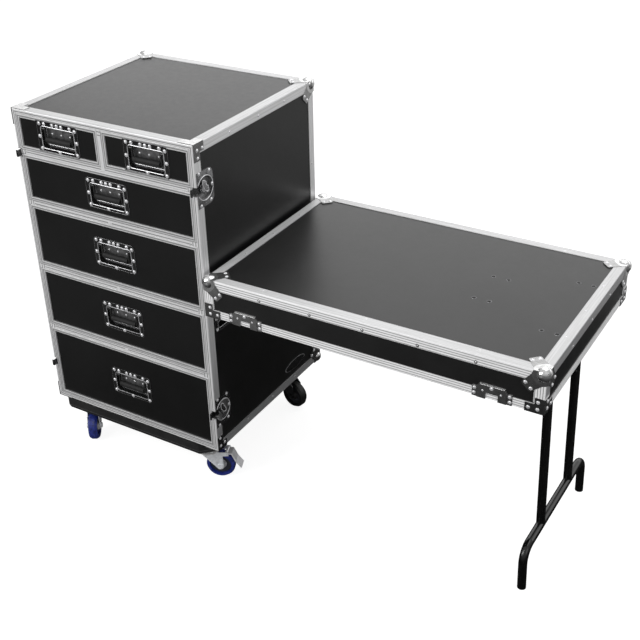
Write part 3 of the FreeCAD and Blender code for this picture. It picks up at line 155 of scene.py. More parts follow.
class Shader(Nodes):
    """A material with what the surfaces here need: places in the frame, noise and relief."""

    def __init__(self, name, color, metallic=0.0, roughness=0.5, specular=0.5):
        self.material = bpy.data.materials.new(name)
        super().__init__(self.material)
        self.bsdf = self.nodes["Principled BSDF"]
        self.set("Base Color", color)
        self.set("Metallic", metallic)
        self.set("Roughness", roughness)
        self.set("Specular IOR Level", specular)
        source = self.add("TexCoord")
        self.coords = source.outputs["Object"]
        self.x, self.y, self.z = self.add("SeparateXYZ", {0: self.coords}).outputs
        self.facing = self.add("SeparateXYZ", {0: source.outputs["Normal"]}).outputs

    def set(self, name, value):
        self.put(self.bsdf.inputs[name], value)

    def gaps(self, box):
        """Distances in from the faces of a box along x, y and z."""
        places = zip((self.x, self.y, self.z), *box)
        return [self.least(self.minus(value, low), self.minus(high, value))
                for value, low, high in places]

    def faces(self, axis, start=0.5, end=0.9):
        """1 where the surface faces an axis either way, 0 where it doesn't."""
        return self.step(self.size(self.facing[axis]), start, end)

    def noise(self, scale, detail=3.0, roughness=0.5, at=None):
        node = self.add("TexNoise", {"Vector": at or self.coords, "Scale": scale,
                                     "Detail": detail, "Roughness": roughness})
        return node.outputs["Fac"]

    def cells(self, scale):
        node = self.add("TexVoronoi", {"Vector": self.coords, "Scale": scale},
                        feature="SMOOTH_F1")
        return node.outputs["Distance"]

    def shades(self, value, low, high, start=0.3, end=0.7):
        """One colour below start, another above end and a ramp between them."""
        node = self.add("ValToRGB", {0: value})
        stops = zip(node.color_ramp.elements, (start, end), (low, high))
        for element, place, color in stops:
            element.position = place
            element.color = (*color, 1)
        return node.outputs[0]

    def rough(self, value, low, high):
        self.set("Roughness", self.blend(value, low, high))

    def relief(self, *layers):
        """Bumps, each of a height, a strength and a distance, one upon another."""
        below = None
        for height, strength, distance in layers:
            inputs = {"Height": height, "Strength": strength, "Distance": distance}
            if below is not None:
                inputs["Normal"] = below
            below = self.add("Bump", inputs).outputs[0]
        self.set("Normal", below)

    def vectors(self, operation, a, b=None):
        inputs = {0: a} if b is None else {0: a, 1: b}
        return self.add("VectorMath", inputs, operation=operation).outputs

    def radius(self, centre, axis):
        """Distance from a line through a point."""
        arm = self.vectors("SUBTRACT", self.coords, centre)[0]
        across = self.vectors("CROSS_PRODUCT", arm, axis)[0]
        return self.vectors("LENGTH", across)["Value"]

    def along(self, centre, axis):
        """Distance along an axis from a point."""
        reach = self.vectors("DOT_PRODUCT", self.coords, axis)["Value"]
        return self.minus(reach, Vector(centre).dot(Vector(axis)))


def laminate(name, dark, light, roughness, specular=0.5, end_specular=None):
    """Black laminate on plywood: fine pebbled grain, faint clouding and soft scuffs.

    end_specular is the gloss of the walls that face along x, where it differs.
    """
    s = Shader(name, grey(dark), 0.0, roughness, specular)
    if end_specular is not None:
        s.set("Specular IOR Level", s.blend(s.faces("X"), specular, end_specular))
    clouds = s.noise(6.0, detail=4.0, roughness=0.6)
    scuffs = s.noise(60.0, detail=5.0, roughness=0.65)
    grain = s.noise(900.0, detail=2.0, roughness=0.6)
    s.set("Base Color", s.shades(clouds, grey(dark), grey(light)))
    s.rough(scuffs, roughness - 0.05, roughness + 0.07)
    s.relief((s.cells(1300.0), 0.18, 0.0002), (grain, 0.12, 0.0002))
    return s.material


EDGING_W = 0.034                     # further in, a front has only its divider
# Dark colour painted into the grooves as the shade in them
GROOVE = (0.11, 0.11, 0.115)
GROOVE_ON_FLAT = 0.16                # share of a groove's depth left on faces that lie flat
# Painted shade for faces that lie flat or look to the left
PAINTED_FACE_SHADE = (0.25, 0.25, 0.253)      # faces that lie flat or look to the left
# Colour of the painted shade on side faces
SHADED_SIDE = (0.16, 0.16, 0.165)


def extrusion(name, box, lines_from, pitch, divider=None, tone=0.9, metallic=0.34, shaded=None):
    """Extruded aluminium with fine grooves along the edges of a box, brushed along them.

    divider is the half width of an upright bar in the middle of the case's front, if there is
    one. shaded gives the heights between which the side faces go from painted shade to unshaded.
    """
    bare = (tone, tone, tone * 1.01)
    s = Shader(name, bare, metallic, 0.34)
    gap_x, gap_y, gap_z = s.gaps(box)
    # On the box's surface the middle one of the three gaps is the way to the nearest edge
    edge = s.most(s.least(gap_x, gap_y), s.least(s.most(gap_x, gap_y), gap_z))
    if divider:
        on_divider = s.below(s.size(s.minus(s.x, CASE_MIDDLE)), divider)
        inner = s.blend(on_divider, s.z, s.x)
        edge = s.blend(s.above(edge, EDGING_W), edge, inner)
    flat, side = s.faces("Z"), s.faces("X")
    wave = s.sine(s.times(s.minus(edge, lines_from), 2 * math.pi / pitch))
    groove = s.times(s.step(wave, 0.45, 0.95), s.step(edge, 0.003, 0.0045))
    faint = s.most(flat, side) if shaded else flat
    groove = s.times(groove, s.blend(faint, 1.0, GROOVE_ON_FLAT))
    run = s.plus(s.x, s.plus(s.y, s.z))
    lane = s.add("CombineXYZ", {0: s.times(edge, 150.0), 1: s.times(run, 5.0)}).outputs[0]
    brushing = s.noise(1.0, detail=3.0, roughness=0.6, at=lane)
    color = s.shades(brushing, grey(tone * 0.8), bare)
    # Painted shade in the grooves, over their relief
    color = s.mix(s.times(groove, 0.85), color, GROOVE)
    # Painted shade: faces that lie flat are darkened a little, those that look to the left more
    color = s.mix(s.times(flat, 0.3), color, PAINTED_FACE_SHADE)
    color = s.mix(s.times(s.step(s.facing["X"], -0.3, -0.8), 0.55), color, PAINTED_FACE_SHADE)
    # Painted shade on the side faces: low down on the case's sides, high up on the lid's ends
    if shaded:
        dull = s.minus(1.0, s.step(s.z, *shaded))
        color = s.mix(s.times(s.times(side, dull), 0.8), color, SHADED_SIDE)
    s.set("Base Color", color)
    s.rough(s.noise(9.0, detail=5.0, roughness=0.7), 0.28, 0.44)
    s.relief((groove, 0.15, -0.0004), (brushing, 0.05, 0.0002))
    return s.material


def plated(name, tone, roughness=0.25, tint=(1.0, 1.0, 1.02), dull=0.6, metallic=1.0):
    """Zinc-plated pressed steel: cloudy plating, faint dents and darker patches.

    dull is the patches' share of the tone.
    """
    s = Shader(name, grey(tone), metallic, roughness)
    clouds = s.noise(70.0, detail=5.0, roughness=0.65)
    patches = tuple(tone * dull * t for t in tint)
    s.set("Base Color", s.shades(clouds, patches, tuple(tone * t for t in tint), 0.32, 0.62))
    s.rough(s.noise(130.0, detail=4.0, roughness=0.6), roughness - 0.07, roughness + 0.12)
    s.relief((s.noise(35.0), 0.12, 0.0015), (s.noise(700.0, detail=2.0), 0.06, 0.0002))
    return s.material


# How far balls and corners reach from the box's corners
BALL_REACH, CORNER_REACH = (0.046, 0.043), 0.097
# The lit tone is painted light on faces that lie flat; the balls have it as well
BRACE_TONE, LOBE_TONE, LIT_TONE = 0.27, 0.46, 0.8


def hardware(name, box, axis, drop, plate_tone, plate_metal):
    """Corner steel: dark braces, lighter lobes with bright balls past the middle of an axis.

    Plates away from the corners, and more than drop under the box, have a tone and a share of
    metal of their own.
    """
    s = Shader(name, grey(0.5), 1.0, 0.2)
    square_x, square_y, square_z = [s.times(gap, gap) for gap in s.gaps(box)]
    apart = s.root(s.plus(square_x, s.plus(square_y, square_z)))
    lobes = s.above((s.x, s.y, s.z)[axis], (box[0][axis] + box[1][axis]) / 2)
    ball = s.times(lobes, s.step(apart, *BALL_REACH))
    plate = s.most(s.above(apart, CORNER_REACH), s.below(s.z, box[0].z - drop))
    # Painted light: faces that lie flat, away from the lobes, take the lit tone and less metal
    flat = s.times(s.faces("Z", 0.8, 0.95), s.minus(1.0, lobes))
    tone = s.blend(ball, s.blend(lobes, BRACE_TONE, LOBE_TONE), LIT_TONE)
    tone = s.blend(flat, s.blend(plate, tone, plate_tone), LIT_TONE)
    clouds = s.noise(70.0, detail=5.0, roughness=0.65)
    plating = s.shades(clouds, grey(0.72), grey(1.0), 0.32, 0.62)
    s.set("Base Color", s.mix(tone, grey(0.0), plating))
    s.set("Metallic", s.blend(flat, s.blend(plate, 1.0, plate_metal), 0.5))
    shine = s.blend(ball, s.blend(plate, 0.22, 0.24), 0.15)
    wear = s.noise(130.0, detail=4.0, roughness=0.6)
    s.set("Roughness", s.plus(shine, s.times(wear, 0.08)))
    s.relief((s.noise(35.0), 0.08, 0.0015), (s.noise(700.0, detail=2.0), 0.05, 0.0002))
    return s.material


DISH_HALF_H = 0.06                   # over and under the middle of a side handle
CUP_FLOOR = 0.3462                   # from the case's middle; cups are deeper in


def side_dishes(name):
    """Latch plates in zinc plating, darker and less metallic in the cups as painted shade; the
    handle dishes are coated black.
    """
    s = Shader(name, grey(0.4), 1.0, 0.22)
    handle = s.below(s.size(s.minus(s.z, row(0, 0, SIDE_HANDLE_Z).z)), DISH_HALF_H)
    deep = s.below(s.size(s.minus(s.x, CASE_MIDDLE)), CUP_FLOOR)
    clouds = s.noise(45.0, detail=4.0, roughness=0.6)
    plating = s.shades(clouds, (0.26, 0.26, 0.265), (0.56, 0.56, 0.57), 0.3, 0.65)
    # Painted shade in the latch cups
    plating = s.mix(deep, plating, (0.26, 0.26, 0.262))
    coating = s.shades(s.noise(25.0, detail=4.0), grey(0.008), grey(0.02))
    s.set("Base Color", s.mix(handle, plating, coating))
    s.set("Metallic", s.times(s.minus(1.0, handle), s.blend(deep, 1.0, 0.55)))
    s.rough(s.noise(120.0, detail=4.0, roughness=0.6), 0.15, 0.34)
    s.relief((s.noise(60.0), 0.15, 0.0012))
    return s.material


def coated(name, color, roughness, specular=0.5, orange=300.0):
    """Black coating on metal, with orange peel and slight wear."""
    s = Shader(name, color, 0.0, roughness, specular)
    clouds = s.noise(25.0, detail=4.0, roughness=0.6)
    wear = s.noise(90.0, detail=4.0, roughness=0.6)
    s.set("Base Color", s.shades(clouds, color, tuple(c * 1.5 for c in color), 0.3, 0.75))
    s.rough(wear, max(roughness - 0.08, 0.05), roughness + 0.1)
    s.relief((s.noise(orange, detail=2.0), 0.12, 0.0004))
    return s.material


def handle_dish(name, floor):
    """Black coated dish whose pocket floor, behind a depth, is rubbed lighter."""
    s = Shader(name, grey(0.007), 0.0, 0.15)
    rubbing = s.noise(60.0, detail=5.0, roughness=0.7)
    clouds = s.noise(25.0, detail=4.0, roughness=0.6)
    rubbed = s.shades(rubbing, grey(0.04), (0.13, 0.13, 0.132))
    black = s.shades(clouds, grey(0.007), grey(0.011), 0.3, 0.75)
    s.set("Base Color", s.mix(s.above(s.y, floor), black, rubbed))
    s.rough(s.noise(90.0, detail=4.0, roughness=0.6), 0.08, 0.26)
    s.relief((s.noise(120.0, detail=2.0), 0.15, 0.0006))
    return s.material


def plywood_coating(name):
    """Board under the case: black hammered coating over plywood, with a painted highlight along
    its bevel.
    """
    s = Shader(name, grey(0.012), 0.0, 0.55, 0.4)
    coat = s.shades(s.noise(14.0, detail=5.0, roughness=0.7), grey(0.008), grey(0.022))
    # Painted highlight: a patchy light line along the bevel
    bevel = s.below(s.size(s.minus(s.z, row(0, 0, BOARD_BEVEL_Z).z)), 0.0016)
    painted_bevel_line = s.times(bevel, s.noise(30.0, detail=4.0, roughness=0.6))
    s.set("Base Color", s.mix(painted_bevel_line, coat, grey(0.09)))
    s.rough(s.noise(200.0, detail=3.0, roughness=0.6), 0.42, 0.7)
    hammering = s.noise(260.0, detail=4.0, roughness=0.7)
    s.relief((hammering, 0.6, 0.0008), (s.cells(120.0), 0.25, 0.0008))
    return s.material


RIB_PITCH = 0.004


def gripped(name, centre, axis, half):
    """A handle's bail: glossy black wire, and a mottled rubber grip with ribs at its ends."""
    s = Shader(name, grey(0.02), 0.0, 0.6)
    along = s.along(centre, axis)
    off = s.size(along)
    grip = s.below(off, half)
    mottle = s.noise(420.0, detail=4.0, roughness=0.7)
    rubber = s.shades(mottle, grey(0.003), grey(0.02), 0.35, 0.7)
    wire = s.shades(s.noise(160.0), grey(0.008), grey(0.02))
    s.set("Base Color", s.mix(grip, wire, rubber))
    s.rough(grip, 0.14, 0.7)
    ribs = s.step(s.sine(s.times(along, 2 * math.pi / RIB_PITCH)), -0.2, 0.6)
    ends = s.times(s.step(off, half - 0.014, half - 0.012), ribs)
    height = s.plus(s.times(mottle, 0.5), ends)
    s.relief((s.times(height, grip), 0.7, 0.0009))
    return s.material


# Outer radii of the hub and the ring round it, and where the tread's lines begin
HUB_R, RING_R, TREAD_R = 0.0195, 0.0365, 0.0485
TREAD_PITCH, MOULD_PITCH = 0.004, 0.006


def tyre(name, centre, axis, tread_color, dark_color, hub_tone):
    """Caster wheel: coloured, scuffed tread, darker ring and a hub with moulded rings."""
    s = Shader(name, tread_color, 0.0, 0.45)
    r = s.radius(centre, axis)
    scuff = s.noise(90.0, detail=5.0, roughness=0.7)
    tread = s.shades(scuff, dark_color, tread_color, 0.35, 0.6)
    clouds = s.noise(120.0, detail=4.0, roughness=0.6)
    hub = s.shades(clouds, grey(hub_tone * 0.6), grey(hub_tone))
    outer = s.above(r, RING_R)
    inner = s.mix(s.above(r, HUB_R), hub, (0.03, 0.032, 0.04))
    s.set("Base Color", s.mix(outer, inner, tread))
    s.rough(outer, 0.5, s.blend(scuff, 0.32, 0.55))
    along = s.size(s.along(centre, axis))
    lines = s.step(s.sine(s.times(along, 2 * math.pi / TREAD_PITCH)), 0.6, 0.9)
    rings = s.step(s.sine(s.times(r, 2 * math.pi / MOULD_PITCH)), 0.4, 0.9)
    height = s.plus(s.times(lines, s.above(r, TREAD_R)), s.times(rings, 0.4))
    s.relief((height, 0.35, -0.0007), (s.noise(500.0), 0.12, 0.0003))
    return s.material


def dress(node, material):
    """Gives a CAD node its material."""
    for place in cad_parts[node].material_slots:
        place.material = material


bright = plated("bright rivet", 0.95, 0.2, dull=0.85, metallic=0.6)
# Bright metal for the beads round the handles' pockets and pocket floors: painted highlights on
# their rims
rolled = plated("rim highlight", 0.75, 0.22, dull=0.8, metallic=0.8)
# Rubbed rims of the table's screws, and the bead round each handle's flange as a painted highlight
rubbed_and_highlight = plated("rubbed screw rim and edge highlight", 0.3, 0.22, dull=0.8, metallic=0.8)
black_steel = coated("black steel", grey(0.007), 0.15)
# Flat dark quads in the screws' cross recesses, as painted shade of the recesses, and dark collars
# round the lid's wall rivets
recess = coated("recess", grey(0.004), 0.5)
screw_black = coated("screw black", grey(0.004), 0.5, 0.2)

dress("case_panels", laminate("laminate", 0.006, 0.010, 0.34))
dress("lid_panels", laminate("table laminate", 0.006, 0.011, 0.32, end_specular=0.1))
dress("case_edging", extrusion("case edging", CASE_BOX, lines_from=0.0064, pitch=0.0105,
                               divider=0.007, shaded=(0.2, 0.8)))
dress("lid_edging", extrusion("lid edging", LID_BOX, lines_from=0.0056, pitch=0.0075,
                              tone=1.0, metallic=0.12, shaded=(0.76, 0.74)))
dress("case_hardware", hardware("case hardware", CASE_BOX, axis=1, drop=0.005, plate_tone=0.85,
                                plate_metal=0.5))
dress("lid_hardware", hardware("lid hardware", LID_BOX, axis=2, drop=1.0, plate_tone=0.5,
                               plate_metal=1.0))
dress("case_dishes", side_dishes("side dishes"))
dress("caster_board", plywood_coating("board coating"))
dress("drawer_runners", plated("runner zinc", 0.7, 0.3))

GRIP_HALF = 0.05
POCKET_FLOOR_Y = 17                  # in millimetres, just ahead of the dishes' floors
drawer_skin = laminate("drawer laminate", 0.004, 0.0065, 0.36, specular=0.36)
dish_coating = handle_dish("handle dish", row(0, POCKET_FLOOR_Y, 0).y)
for n, (x0, x1, z0, z1) in enumerate(DRAWERS, 1):
    drawer = "drawer_%d_" % n
    front = (row(x0 + FRONT_GAP, 0, z0 + FRONT_GAP),
             row(x1 - FRONT_GAP, FRONT_DEPTH, z1 - FRONT_GAP))
    handle = row((x0 + x1) / 2, HANDLE_Y, (z0 + z1) / 2)
    dress(drawer + "box", drawer_skin)
    trim = extrusion(drawer + "trim", front, lines_from=0.0043, pitch=0.011, tone=0.72)
    dress(drawer + "trim", trim)
    dress(drawer + "dish", dish_coating)
    dress(drawer + "bail", gripped(drawer + "bail", handle, X, GRIP_HALF))
for name in ("side_bail_left", "side_bail_right"):
    dress(name, gripped(name, row(0, SIDE_HANDLE_Y, SIDE_HANDLE_Z), Y, GRIP_HALF))
for corner in LATCHES:
    latch = "latch_%s_" % corner
    # The rotors' dark tone is painted shade in the latch cups; the hooks are darker still
    dress(latch + "rotor", plated("rotor " + corner, 0.24, 0.22))
    dress(latch + "wing", plated("wing " + corner, 0.75, 0.2, dull=0.7))
    dress(latch + "hook", plated("hook " + corner, 0.14, 0.25))

# Tread, its scuffs, hub, and the fork's tone and metal: blue wheels in front, black ones behind
FRONT_CASTER = ((0.014, 0.03, 0.25), (0.006, 0.012, 0.09), 0.48, 0.98, 0.35)
# The rear forks' dark tone is painted shade; their hubs are darker than the front ones too
REAR_CASTER = (grey(0.012), grey(0.007), 0.03, 0.10, 0.9)
FORK_TINT = (0.97, 0.99, 1.02)
for name, (x, y, angle) in CASTERS.items():
    turn = math.radians(angle)
    heading = Vector((math.cos(turn), math.sin(turn), 0))
    axle = Vector((-heading.y, heading.x, 0))
    centre = row(x + TRAIL * heading.x, y + TRAIL * heading.y, WHEEL_Z)
    tread, scuffed, hub, tone, metallic = FRONT_CASTER if name[0] == "f" else REAR_CASTER
    wheel = tyre("wheel " + name, centre, axle, tread, scuffed, hub)
    dress("caster_%s_wheel" % name, wheel)
    fork = plated("fork " + name, tone, 0.28, FORK_TINT, 0.75, metallic)
    dress("caster_%s_fork" % name, fork)
for name in ("brake_pedal_fr", "brake_pedal_rl"):
    dress(name, plated(name + " zinc", 0.95, 0.3, dull=0.85, metallic=0.4))
leg_paint = coated("leg paint", grey(0.003), 0.13, orange=500.0)
for name in ("leg_frame", "brace_upper", "brace_lower"):
    dress(name, leg_paint)

# Small pieces
RIVET_SIDES, SCREW_SIDES, BEAD_SIDES = 14, 20, 8
SHARP_ANGLE = math.radians(40)
# Shares of a rivet's height and radius, from its collar to its crown
RIVET_PROFILE = ((0, 1.18), (0.16, 1.15), (0.2, 1), (0.6, 0.86), (0.9, 0.5), (1, 0))
# Places of the materials of a piece
BRIGHT, ROLLED, EDGE_HIGHLIGHT = 0, 1, 2
RECESS, SCREW_BLACK, SCREW_RIM = 1, 2, 3


def around(sides):
    """Cosine and sine of the angles of a turned form."""
    angles = [2 * math.pi * k / sides for k in range(sides)]
    return [(math.cos(angle), math.sin(angle)) for angle in angles]


def grid(rows, sides, closed=False):
    """Faces between rings of as many points each; closed joins the last ring to the first."""
    faces = []
    for i in range(rows if closed else rows - 1):
        low, high = i * sides, (i + 1) % rows * sides
        for k in range(sides):
            m = (k + 1) % sides
            faces.append([low + k, low + m, high + m, high + k])
    return faces


def put_in_scene(name, data):
    thing = bpy.data.objects.new(name, data)
    bpy.context.scene.collection.objects.link(thing)
    return thing


class Piece:
    """Faces gathered in millimetres in the case's coordinates, made into one object."""

    def __init__(self):
        self.verts, self.faces, self.slots = [], [], []

    def add(self, verts, faces, slot=0):
        start = len(self.verts)
        self.verts += [Vector(v) for v in verts]
        self.faces += [[start + i for i in face] for face in faces]
        self.slots += [slot] * len(faces)

    def lathe(self, at, axis, profile, sides, slot):
        """A turned form: profile is (height along the axis, radius), from one end to the other."""
        u = axis.orthogonal().normalized()
        v = axis.cross(u)
        rings, verts = [], []
        for height, radius in profile:
            middle = at + axis * height
            if radius == 0:
                rings.append([len(verts)] * sides)
                verts.append(middle)
                continue
            rings.append(range(len(verts), len(verts) + sides))
            verts += [middle + (u * c + v * s) * radius for c, s in around(sides)]
        faces = []
        for low, high in zip(rings, rings[1:]):
            for k in range(sides):
                m = (k + 1) % sides
                face = list(dict.fromkeys((low[k], low[m], high[m], high[k])))
                if len(face) > 2:
                    faces.append(face)
        self.add(verts, faces, slot)

    def tube(self, path, normal, radius, closed=True, slot=BRIGHT):
        """A round bead along a path that lies in a plane across the normal."""
        count = len(path)
        verts = []
        for i, point in enumerate(path):
            after = path[(i + 1) % count] if closed or i + 1 < count else point
            before = path[i - 1] if closed or i else point
            side = (after - before).normalized().cross(normal)
            verts += [point + (side * c + normal * s) * radius for c, s in around(BEAD_SIDES)]
        faces = grid(count, BEAD_SIDES, closed)
        if not closed:
            ring = list(range(BEAD_SIDES))
            faces += [ring[::-1], [(count - 1) * BEAD_SIDES + k for k in ring]]
        self.add(verts, faces, slot)

    def rivet(self, at, axis, radius=4.8, height=2.8, collar=None):
        """Domed rivet head, on a wider dark collar where collar names a material's place."""
        at = Vector(at)
        if collar is not None:
            washer = [(0, radius * 1.7), (0.3, radius * 1.6), (0.35, 0)]
            self.lathe(at, axis, washer, RIVET_SIDES, collar)
        profile = [(height * h, radius * r) for h, r in RIVET_PROFILE]
        self.lathe(at, axis, profile, RIVET_SIDES, BRIGHT)

    def screw(self, at, axis, radius):
        """Countersunk screw head with a cross recess and a rubbed rim."""
        rim = [(0, radius * 1.25), (0.4, radius * 1.2), (0.45, radius * 1.05)]
        head = [(0, radius * 1.1), (0.5, radius), (0.7, radius * 0.8), (0.75, 0)]
        self.lathe(at, axis, rim, SCREW_SIDES, SCREW_RIM)
        self.lathe(at, axis, head, SCREW_SIDES, SCREW_BLACK)
        u = axis.orthogonal().normalized()
        v = axis.cross(u)
        # The cross recess is drawn as two dark quads over the head: painted shade of the recess
        for a, b in ((u, v), (v, u)):
            arm = [at + a * s * radius * 0.62 + b * t * radius * 0.13 + axis * 0.8
                   for s, t in ((-1, -1), (1, -1), (1, 1), (-1, 1))]
            self.add(arm, [[0, 1, 2, 3]], RECESS)

    def make(self, name, materials, body):
        mesh = bpy.data.meshes.new(name)
        mesh.from_pydata([(v + CASE_ZERO) * MM for v in self.verts], [], self.faces)
        for material in materials:
            mesh.materials.append(material)
        mesh.polygons.foreach_set("material_index", self.slots)
        mesh.update()
        mesh.shade_smooth()
        mesh.set_sharp_from_angle(angle=SHARP_ANGLE)
        piece = put_in_scene(name, mesh)
        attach(piece, body)


def loop(centre, u, v, half_u, half_v, radius, lift):
    """Points of a rectangle with round corners, lifted from the plane of u and v."""
    points = []
    for su, sv, first in ((1, 1, 0), (-1, 1, 90), (-1, -1, 180), (1, -1, 270)):
        for angle in range(first, first + 91, 15):
            a = su * (half_u - radius) + radius * math.cos(math.radians(angle))
            b = sv * (half_v - radius) + radius * math.sin(math.radians(angle))
            points.append(centre + u * a + v * b + u.cross(v) * lift)
    return points


# Places across and up from the middle of a handle
FLANGE_RIVETS = ((-72, 40), (-52, 41), (-18, 41), (0, 41), (18, 41), (52, 41), (72, 36),
                 (-75, -2), (75, -2), (-72, -41), (0, -44), (72, -41))
POCKET_RIVETS = ((-36, 6), (0, 6), (36, 6))
POCKET_DROP, POCKET_FLOOR = 3.5, -13.9


def handle_details(piece, centre, u, v):
    """Rivets of a handle's flange and pocket, and beads round both and the pocket's floor."""
    out = u.cross(v)
    for a, b in FLANGE_RIVETS:
        piece.rivet(centre + u * a + v * b + out * PLATE_T, out, 5.4, 3.0)
    for a, b in POCKET_RIVETS:
        piece.rivet(centre + u * a + v * b + out * POCKET_FLOOR, out, 3.2, 1.6)
    pocket = centre - v * POCKET_DROP
    # Beads in bright metal on the black dish: painted highlights along the pocket's rim and its
    # floor
    piece.tube(loop(pocket, u, v, 67.4, 36.4, 9.5, PLATE_T), out, 1.5, slot=ROLLED)
    piece.tube(loop(pocket, u, v, 58.5, 27.5, 6.0, POCKET_FLOOR), out, 0.9, slot=ROLLED)
    # The bead round the flange: a painted highlight along its edge
    piece.tube(loop(centre, u, v, 82.2, 49.2, 11.5, 1.1), out, 0.6, slot=EDGE_HIGHLIGHT)


def arc(x, z, radius, degrees):
    """Points round a latch's axis, in a plane across x."""
    return [Vector((x, LATCH_Y + radius * math.cos(math.radians(t)),
                    z + radius * math.sin(math.radians(t)))) for t in degrees]


def plate_rivets(piece, corner, a, b, rim, faces, places):
    """Rivets of a corner brace on one or both of its faces.

    a and b run inward along the faces, and rim away from the open side.
    """
    for along, out in ((a, b), (b, a))[:faces]:
        for far, deep in places:
            piece.rivet(corner - out * PLATE_T + along * far + rim * deep, -out)


def ball_rivets(piece, corner, a, b, c):
    """Rivets on the three lobes of a ball corner."""
    for along, across, out in ((a, b, c), (b, c, a), (c, a, b)):
        for far, side in ((57, 41.5), (41.5, 57)):
            piece.rivet(corner - out * PLATE_T + along * far + across * side, -out)


for n, (x0, x1, z0, z1) in enumerate(DRAWERS, 1):
    piece = Piece()
    handle_details(piece, Vector(((x0 + x1) / 2, HANDLE_Y, (z0 + z1) / 2)), X, Z)
    piece.make("drawer_%d_rivets" % n, [bright, rolled, rubbed_and_highlight], "drawer_%d" % n)

# Along y and up from the middle of a latch's plate
LATCH_RIVETS = ((67.6, 46.9), (17.6, 50.7), (77, 1.3), (68.3, -45.5), (19.9, -50))
LATCH_PLATE_X, CUP_RIM_X, CUP_RIM_R = 349.5, 349.6, 37.5
CUP_RIM_TURN = range(-152, 153, 8)   # open towards the front, where the hook leaves the cup
CASE_LINE = 20                       # from the case's edges to the middle of its edging
SIDE_RIVET, REAR_RIVET = (3.4, 1.8), (2.6, 1.2)
case_bits = Piece()
for s in (-1, 1):
    middle = Vector((s * SIDE_HANDLE_X, SIDE_HANDLE_Y, SIDE_HANDLE_Z))
    handle_details(case_bits, middle, Y * s, Z)
    for z in (LATCH_INSET, CASE_H - LATCH_INSET):
        for y, up in LATCH_RIVETS:
            case_bits.rivet((s * LATCH_PLATE_X, y, z + up), X * s)
        rim = arc(s * CUP_RIM_X, z, CUP_RIM_R, CUP_RIM_TURN)
        case_bits.tube(rim, X * s, 1.3, closed=False)
    for y in (180, 335, 483):
        for z in (CASE_LINE, CASE_H - CASE_LINE):
            case_bits.rivet((s * CASE_SIDE, y, z), X * s, *SIDE_RIVET)
    for z in (330, 640, 790):
        case_bits.rivet((s * CASE_SIDE, CASE_D - CASE_LINE, z), X * s, *REAR_RIVET)
        case_bits.rivet((s * (CASE_SIDE - CASE_LINE), CASE_D, z), Y, *REAR_RIVET)
    for x in (-150, 0, 150):
        z = CASE_LINE if s < 0 else CASE_H - CASE_LINE
        case_bits.rivet((x, CASE_D, z), Y, *REAR_RIVET)

# Inward along a brace's face and up from its corner
LOWER_BRACE, UPPER_BRACE = ((46, 13), (15, 14), (18, 36)), ((45, 17), (21, 16), (20, 41))
LID_BRACE = ((44, 13.5), (18, 13), (18, 35))
lid_bits = Piece()
for side in (-1, 1):
    for top in (0, 1):
        corner = Vector((side * CASE_SIDE, 0, top * CASE_H))
        inward = Z * (1 - 2 * top)
        places = UPPER_BRACE if top else LOWER_BRACE
        plate_rivets(case_bits, corner, inward, -X * side, Y, 1, places)
        ball_rivets(case_bits, corner + Y * CASE_D, -X * side, -Y, inward)
    for rear in (0, 1):
        x = LID_X + LID_L / 2 + side * LID_L / 2
        corner = Vector((x, LID_Y + rear * LID_D, TABLE_Z))
        inward = Y * (1 - 2 * rear)
        ball_rivets(lid_bits, corner, -X * side, inward, -Z)
        plate_rivets(lid_bits, corner - Z * LID_T, -X * side, inward, Z, 2, LID_BRACE)

# Along x and up from a keeper's middle, and out from the lid's wall
KEEPER_RIVETS = ((-50, 26, 1.5), (-51, 10, 1.5), (-1, 37, 3.5), (50, 26, 1.5), (51, 10, 1.5))
KEEPER_PINS = ((-26, 25, 3.5), (26, 25, 3.5))
LID_BOTTOM = TABLE_Z - LID_T
LID_LINE = TABLE_Z - 24.5            # rivets along the lid's walls
LID_TOP = TABLE_Z - 0.3              # rivets on its top, let in a little
LONG_LINE, END_LINE = 22.5, 21       # and how far in from its long and its end walls
WALL_RIVET, END_RIVET, TOP_RIVET, PIN_RIVET = (3.0, 1.4), (3.4, 1.6), (2.8, 1.2), (2.8, 1.4)
for s, y in ((-1, LID_Y), (1, LID_Y + LID_D)):
    for x in (198, 369, 540, 710, 880):
        lid_bits.rivet((LID_X + x, y, LID_LINE), Y * s, *WALL_RIVET, collar=RECESS)
    for x in (198, 540, 880):
        lid_bits.rivet((LID_X + x, y - s * LONG_LINE, LID_TOP), Z, *TOP_RIVET)
    for keeper in (LID_X + KEEPER_INSET, LID_X + LID_L - KEEPER_INSET):
        for x, z, out in KEEPER_RIVETS:
            lid_bits.rivet((keeper + x, y + s * out, LID_BOTTOM + z), Y * s)
        for x, z, out in KEEPER_PINS:
            lid_bits.rivet((keeper + x, y + s * out, LID_BOTTOM + z), Y * s, *PIN_RIVET)
for y in (177, 337, 497):
    lid_bits.rivet((LID_X + LID_L, y, LID_LINE), X, *END_RIVET)
    for x in (END_LINE, LID_L - END_LINE):
        lid_bits.rivet((LID_X + x, y, LID_TOP), Z, *TOP_RIVET)
# Screws of the legs' brackets, then of the brace's: across from the lid's middle, and along it
BRACKET_SCREWS = ((152.5, (985, 1029)), (72.5, (753, 800)))
LID_MIDDLE_Y = LID_Y + LID_D / 2
SCREW_R, SCREW_Z = 5.6, TABLE_Z - 2
for spread, places in BRACKET_SCREWS:
    for s in (-1, 1):
        for x in places:
            lid_bits.screw(Vector((LID_X + x, LID_MIDDLE_Y + s * spread, SCREW_Z)), Z, SCREW_R)
case_bits.make("case_rivets", [bright, rolled, rubbed_and_highlight], "case")
lid_bits.make("lid_rivets", [bright, recess, screw_black, rubbed_and_highlight], "table")

